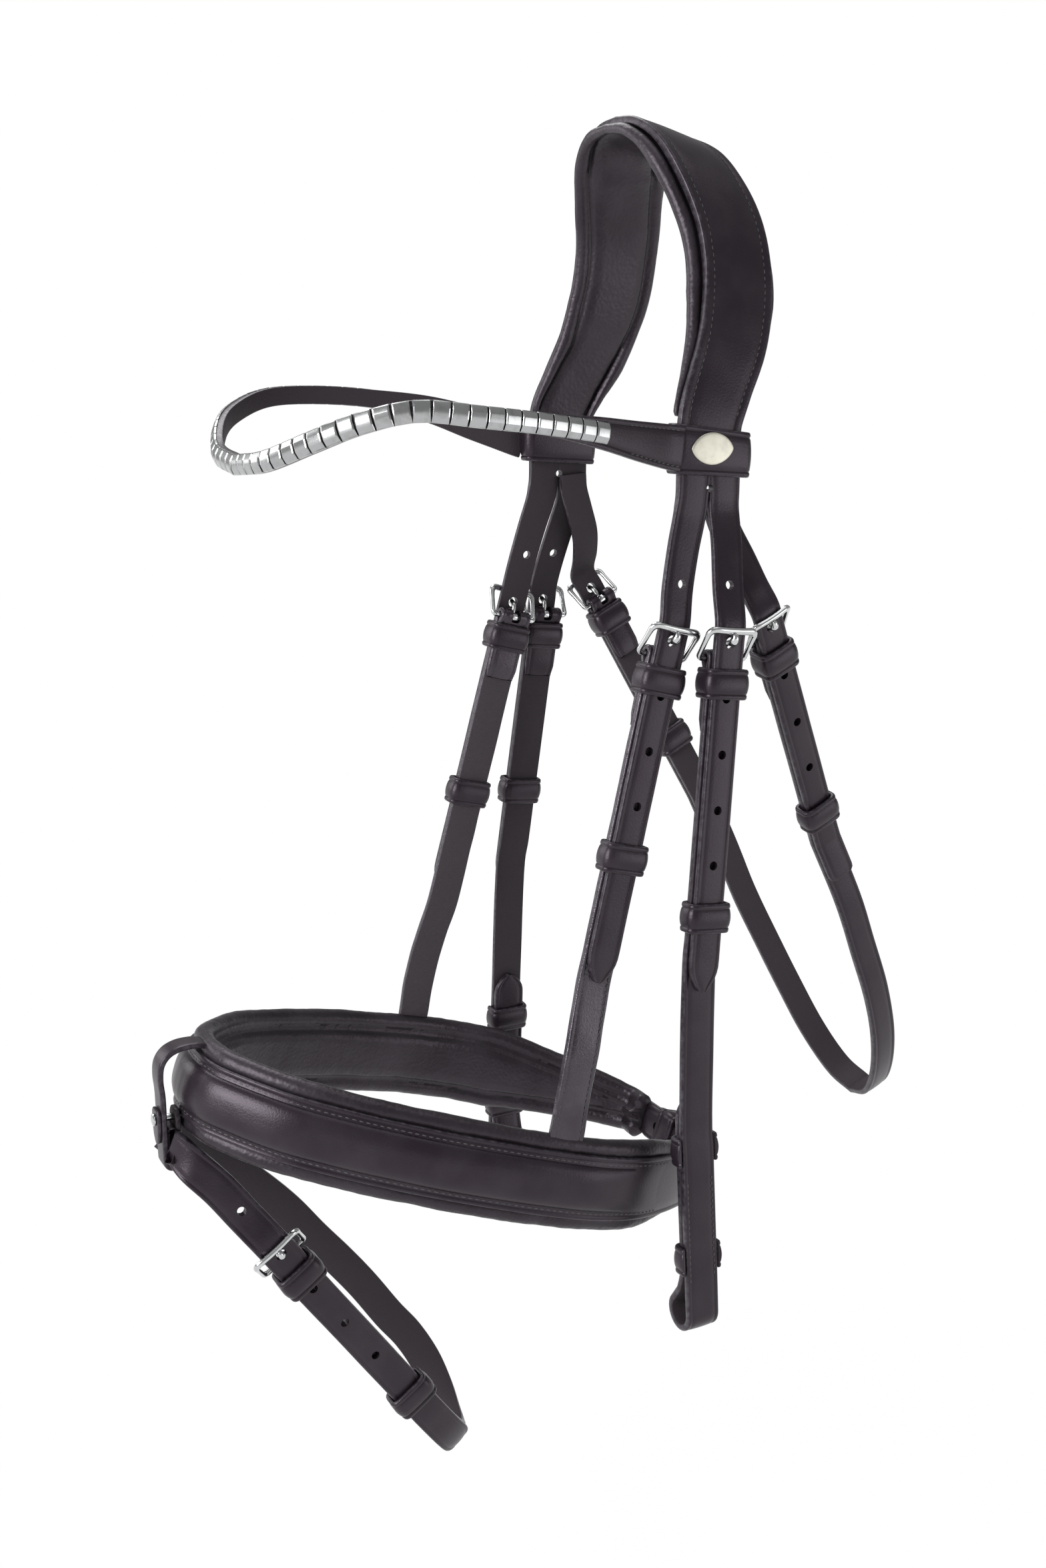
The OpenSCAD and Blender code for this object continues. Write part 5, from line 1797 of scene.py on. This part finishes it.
@dataclass
class Flash:
    """The flash strap in its loop at the front of the noseband."""

    width: float = 15.0
    loop_w: float = 10.0
    loop_t: float = 2.2
    mid: tuple[float, float] = (-218.4, -405.0)
    straight: float = 124.0
    runner_u: float = 108.0
    side: np.ndarray = field(default_factory=lambda: vec(0, 0.75, 0.66))
    seat: Seat = field(default_factory=lambda: Seat.facing(
        vec(27, -182, -451.5), vec(21.5, -120, -540), vec(0, 0.75, 0.66)))

    def turn_r(self) -> float:
        """Returns the radius of the loop's turn under the strap."""
        return TRADE.strap_t / 2 + 0.3 + self.loop_t / 2

    def stud_z(self) -> float:
        """Returns the height of the stud."""
        return self.mid[1] + self.width / 2 + 3.3

    def loop(self) -> Mesh:
        """Returns the loop, from the top of the noseband round the strap."""
        y, z = self.mid
        r, w, t = self.turn_r(), self.loop_w, self.loop_t
        over = [
            (-201.3, -366.6), (-201.7, -365.2), (-203.6, -363.9), (-207.5, -363.3),
            (-213, -363.6), (-218, -365.6), (-221.2, -369.8), (-222, -376), (y - r - 0.1, -384),
            (y - r - 0.05, -398), (y - r, z - self.width / 2 + 2),
        ]
        rows = smooth([row((0, *p), w, t, LEFT) for p in over], 5)
        for k in range(1, 16):
            turn = math.radians(12 * k)
            rows.append(row((0, y - r * math.cos(turn), z - self.width / 2 - r * math.sin(turn)), w, t, LEFT))
        rows.append(row((0, y + r, z), w, t, LEFT))
        rows.append(row((0, y + r, self.stud_z() + 1), w * 0.96, t, LEFT))
        rows.append(row((0, y + r, self.stud_z() + 4), w * 0.6, t, LEFT))
        front = y - r - t / 2 - 0.9
        tongue = [
            row((0, front, self.stud_z() - low), w * share, 1.5, LEFT)
            for low, share in (
                (-4.5, 0.7), (-3, 0.92), (0, 0.95), (4, 0.9), (7.5, 0.72), (9.8, 0.42), (10.8, 0.16),
            )
        ]
        loop = strap(rows, FLAT, soft=0.4, pitch=2.5)
        return ripple(joined(loop, strap(tongue, FLAT, soft=0.3, pitch=2.5)), 0.08, 9.0, 91.0)

    def stud(self) -> Mesh:
        """Returns the stud that closes the loop."""
        face = Seat(vec(0, self.mid[0] - self.turn_r() - self.loop_t / 2 - 1.8, self.stud_z()),
                    vec(0, 0, -1), LEFT, vec(0, -1, 0))
        return button(face, 0, 0, 1, head=2.7, tall=10.0)

    def rows(self) -> list[Row]:
        """Returns the strap's route from its fold round to its point."""
        y, z = self.mid
        w, t, level = self.width, TRADE.strap_t, self.loop_w / 2 + 0.7
        s = self.seat

        def lean(x: float, height: float) -> np.ndarray:
            """Returns the strap's side direction at a place."""
            if height < -425:
                return self.side
            return mix(UP, self.side, clamp((abs(x) - level) / (22 - level)))

        low = [
            (16.5, -101.5, -566), (11, -95, -574.5), (3, -92, -577.5), (-6, -91, -574),
            (-14, -91.5, -565), (-21, -94.5, -553.5), (-26, -101, -541), (-29, -110, -529),
            (-30, -122, -511), (-30, -134, -495), (-29.5, -146, -480), (-28.5, -158, -464),
            (-27.5, -170, -450.5), (-26, -182, -438.5), (-24, -194, -428.5), (-20.5, -204, -420),
            (-15.5, -212.5, -411.5), (-level - 1.5, y + 0.3, z - 0.3), (-level, y, z), (0, y, z),
        ]
        start = s.leaf(self.straight, -t / 2, w, t)
        start[5:8] = self.side
        self.lower = smooth([start, *[row(p, w, t, lean(p[0], p[2])) for p in low]], 6)
        high = [(0, y, z), (level, y, z), (level + 1.5, y + 0.3, z - 0.3), (15.5, -212.5, -412),
                (20.5, -204, -421.5), (24.4, -194.5, -434.5)]
        upper = [row(p, w, t if p[0] < 16 else TRADE.billet_t, lean(p[0], p[2])) for p in high]
        upper += [s.leaf(-8, TRADE.billet_n, w, TRADE.billet_t), s.leaf(2, TRADE.billet_n, w, TRADE.billet_t)]
        return TRADE.fold(s, w) + self.lower + smooth(upper, 6)[1:] + self.point()

    def point(self) -> list[Row]:
        """Returns the billet from below the buckle to its point, over the strap."""
        w, t = self.width, TRADE.billet_t
        rows = [self.seat.leaf(u, TRADE.billet_n, w, t) for u in (12.0, self.straight - 3)]
        return rows + overlaid(self.lower, w, 35.0, TIP)

    def build(self, bench: Bench) -> None:
        """Makes and places the flash."""
        mesh = ripple(strap(self.rows(), soft=0.25, pitch=3.5), 0.1, 24.0, 95.0)
        mesh = carve(mesh, TRADE.slot(self.seat))
        mesh = punched(mesh, self.seat, [-25, 25, 50, 75])
        bench.place(mesh, "flash_leather", Fit("flash", stands_for=("flash_strap",)))
        bench.place(self.loop(), "flash_loop_leather", Fit("flash", stands_for=("flash_loop",)))
        bench.place(self.stud(), "flash_loop_stud", Fit("flash", Finish.STEEL, ("flash_stud",)))
        keeper = Fit("flash", stands_for=("flash_keeper",))
        bench.place(TRADE.fixed(self.seat, self.width), "flash_sewn_keeper", keeper)
        bench.place(
            TRADE.runner(self.seat, self.runner_u, self.width), "flash_sliding_keeper",
            Fit("flash_runner", stands_for=("flash_runner",)),
        )
        bench.metalwork(Buckle(self.seat), "flash", "flash", ("flash_buckle_wire", "flash_buckle_prong"))


# ---- Studio ----


@dataclass(frozen=True)
class Studio:
    """A pale floor, soft lamps and the camera."""

    turn: float = 62.5
    rise: float = 13.3
    away: float = 0.780
    target: tuple[float, float, float] = (-0.018, -0.043, -0.275)
    lens: float = 39.41
    floor_z: float = -0.66

    def camera(self) -> None:
        """Sets up the camera."""
        a, e = math.radians(self.turn), math.radians(self.rise)
        back = Vector((math.sin(a) * math.cos(e), -math.cos(a) * math.cos(e), math.sin(e)))
        data = bpy.data.cameras.new("camera")
        data.lens, data.sensor_width, data.sensor_fit = self.lens, 36.0, "AUTO"
        data.clip_start, data.clip_end = 0.02, 50.0
        holder = bpy.data.objects.new("camera", data)
        holder.location = Vector(self.target) + back * self.away
        holder.rotation_euler = back.to_track_quat("Z", "Y").to_euler()
        bpy.context.scene.collection.objects.link(holder)
        bpy.context.scene.camera = holder

    def lamp(self, name: str, spot: tuple[float, float, float], size: float, power: float) -> None:
        """Hangs a soft square lamp that faces the bridle.

        Args:
            name: The lamp's name.
            spot: Where it hangs, in metres.
            size: The length of its side.
            power: Its power in watts.
        """
        data = bpy.data.lights.new(name, "AREA")
        data.shape, data.size, data.energy = "SQUARE", size, power
        holder = bpy.data.objects.new(name, data)
        holder.location = spot
        aim = Vector(spot) - Vector(self.target)
        holder.rotation_euler = aim.to_track_quat("Z", "Y").to_euler()
        bpy.context.scene.collection.objects.link(holder)

    def floor(self) -> None:
        """Lays a pale floor that keeps the bridle's shadow."""
        mesh = bmesh.new()
        bmesh.ops.create_circle(mesh, cap_ends=True, segments=96, radius=9.0)
        bmesh.ops.translate(mesh, verts=mesh.verts, vec=(0, 0, self.floor_z))
        block = bpy.data.meshes.new("floor")
        mesh.to_mesh(block)
        mesh.free()
        d = Dress("pale floor")
        where = d.place()
        paper = d.cloud(where, 3.0, 2.0)
        colour = d.blend(paper, (0.90, 0.90, 0.90, 1.0), (0.93, 0.93, 0.93, 1.0))
        matt = d.node("ShaderNodeBsdfDiffuse", inputs={"Color": colour})
        white = d.node("ShaderNodeEmission", inputs={"Color": (1, 1, 1, 1), "Strength": 1.0})
        shine = d.node("ShaderNodeLightPath", out="Is Glossy Ray")
        seen = Sock(d, shine.out.node.outputs["Is Camera Ray"])
        far = d.node("ShaderNodeVectorMath", {"operation": "LENGTH"}, {0: where}, out="Value")
        share = (0.55 + 0.45 * far.ramp(0.25, 0.75)) * (seen + shine)
        both = d.node("ShaderNodeMixShader", inputs={0: share, 1: matt, 2: white})
        d.node("ShaderNodeOutputMaterial", inputs={"Surface": both})
        block.materials.append(d.material)
        floor = bpy.data.objects.new("floor", block)
        bpy.context.scene.collection.objects.link(floor)

    def sky(self) -> None:
        """Lights the room evenly and shows a white wall to the camera."""
        world = bpy.data.worlds.new("room")
        bpy.context.scene.world = world
        world.use_nodes = True
        tree = world.node_tree
        tree.nodes.clear()
        path = tree.nodes.new("ShaderNodeLightPath")
        dim = tree.nodes.new("ShaderNodeBackground")
        dim.inputs["Color"].default_value = (1.0, 1.0, 1.0, 1.0)
        dim.inputs["Strength"].default_value = 0.34
        white = tree.nodes.new("ShaderNodeBackground")
        white.inputs["Color"].default_value = (1.0, 1.0, 1.0, 1.0)
        white.inputs["Strength"].default_value = 1.0
        both = tree.nodes.new("ShaderNodeMixShader")
        out = tree.nodes.new("ShaderNodeOutputWorld")
        tree.links.new(path.outputs["Is Camera Ray"], both.inputs[0])
        tree.links.new(dim.outputs[0], both.inputs[1])
        tree.links.new(white.outputs[0], both.inputs[2])
        tree.links.new(both.outputs[0], out.inputs["Surface"])

    def build(self) -> None:
        """Sets up the room."""
        bpy.context.scene.view_settings.view_transform = "Standard"
        self.camera()
        self.floor()
        self.sky()
        self.lamp("key", (0.35, -1.5, 0.25), 0.9, 26.0)
        self.lamp("rim", (-0.8, 0.0, 0.95), 0.8, 10.0)
        self.lamp("left", (-1.3, -1.2, 0.3), 1.0, 9.0)
        self.lamp("right", (1.25, 1.0, -0.25), 0.8, 4.0)
        self.lamp("top", (0.3, 0.2, 1.4), 1.2, 5.0)


def main() -> None:
    """Builds the bridle piece by piece and sets up the room."""
    logging.basicConfig(level=logging.INFO, format="%(message)s")
    bench = Bench()
    for part in (Headpiece(), Browband(), Cheekpiece(), Hanger(), Throatlash(), Noseband(), Flash()):
        LOG.info("building %s", type(part).__name__.lower())
        part.build(bench)
    Studio().build()


if __name__ == "__main__":
    main()
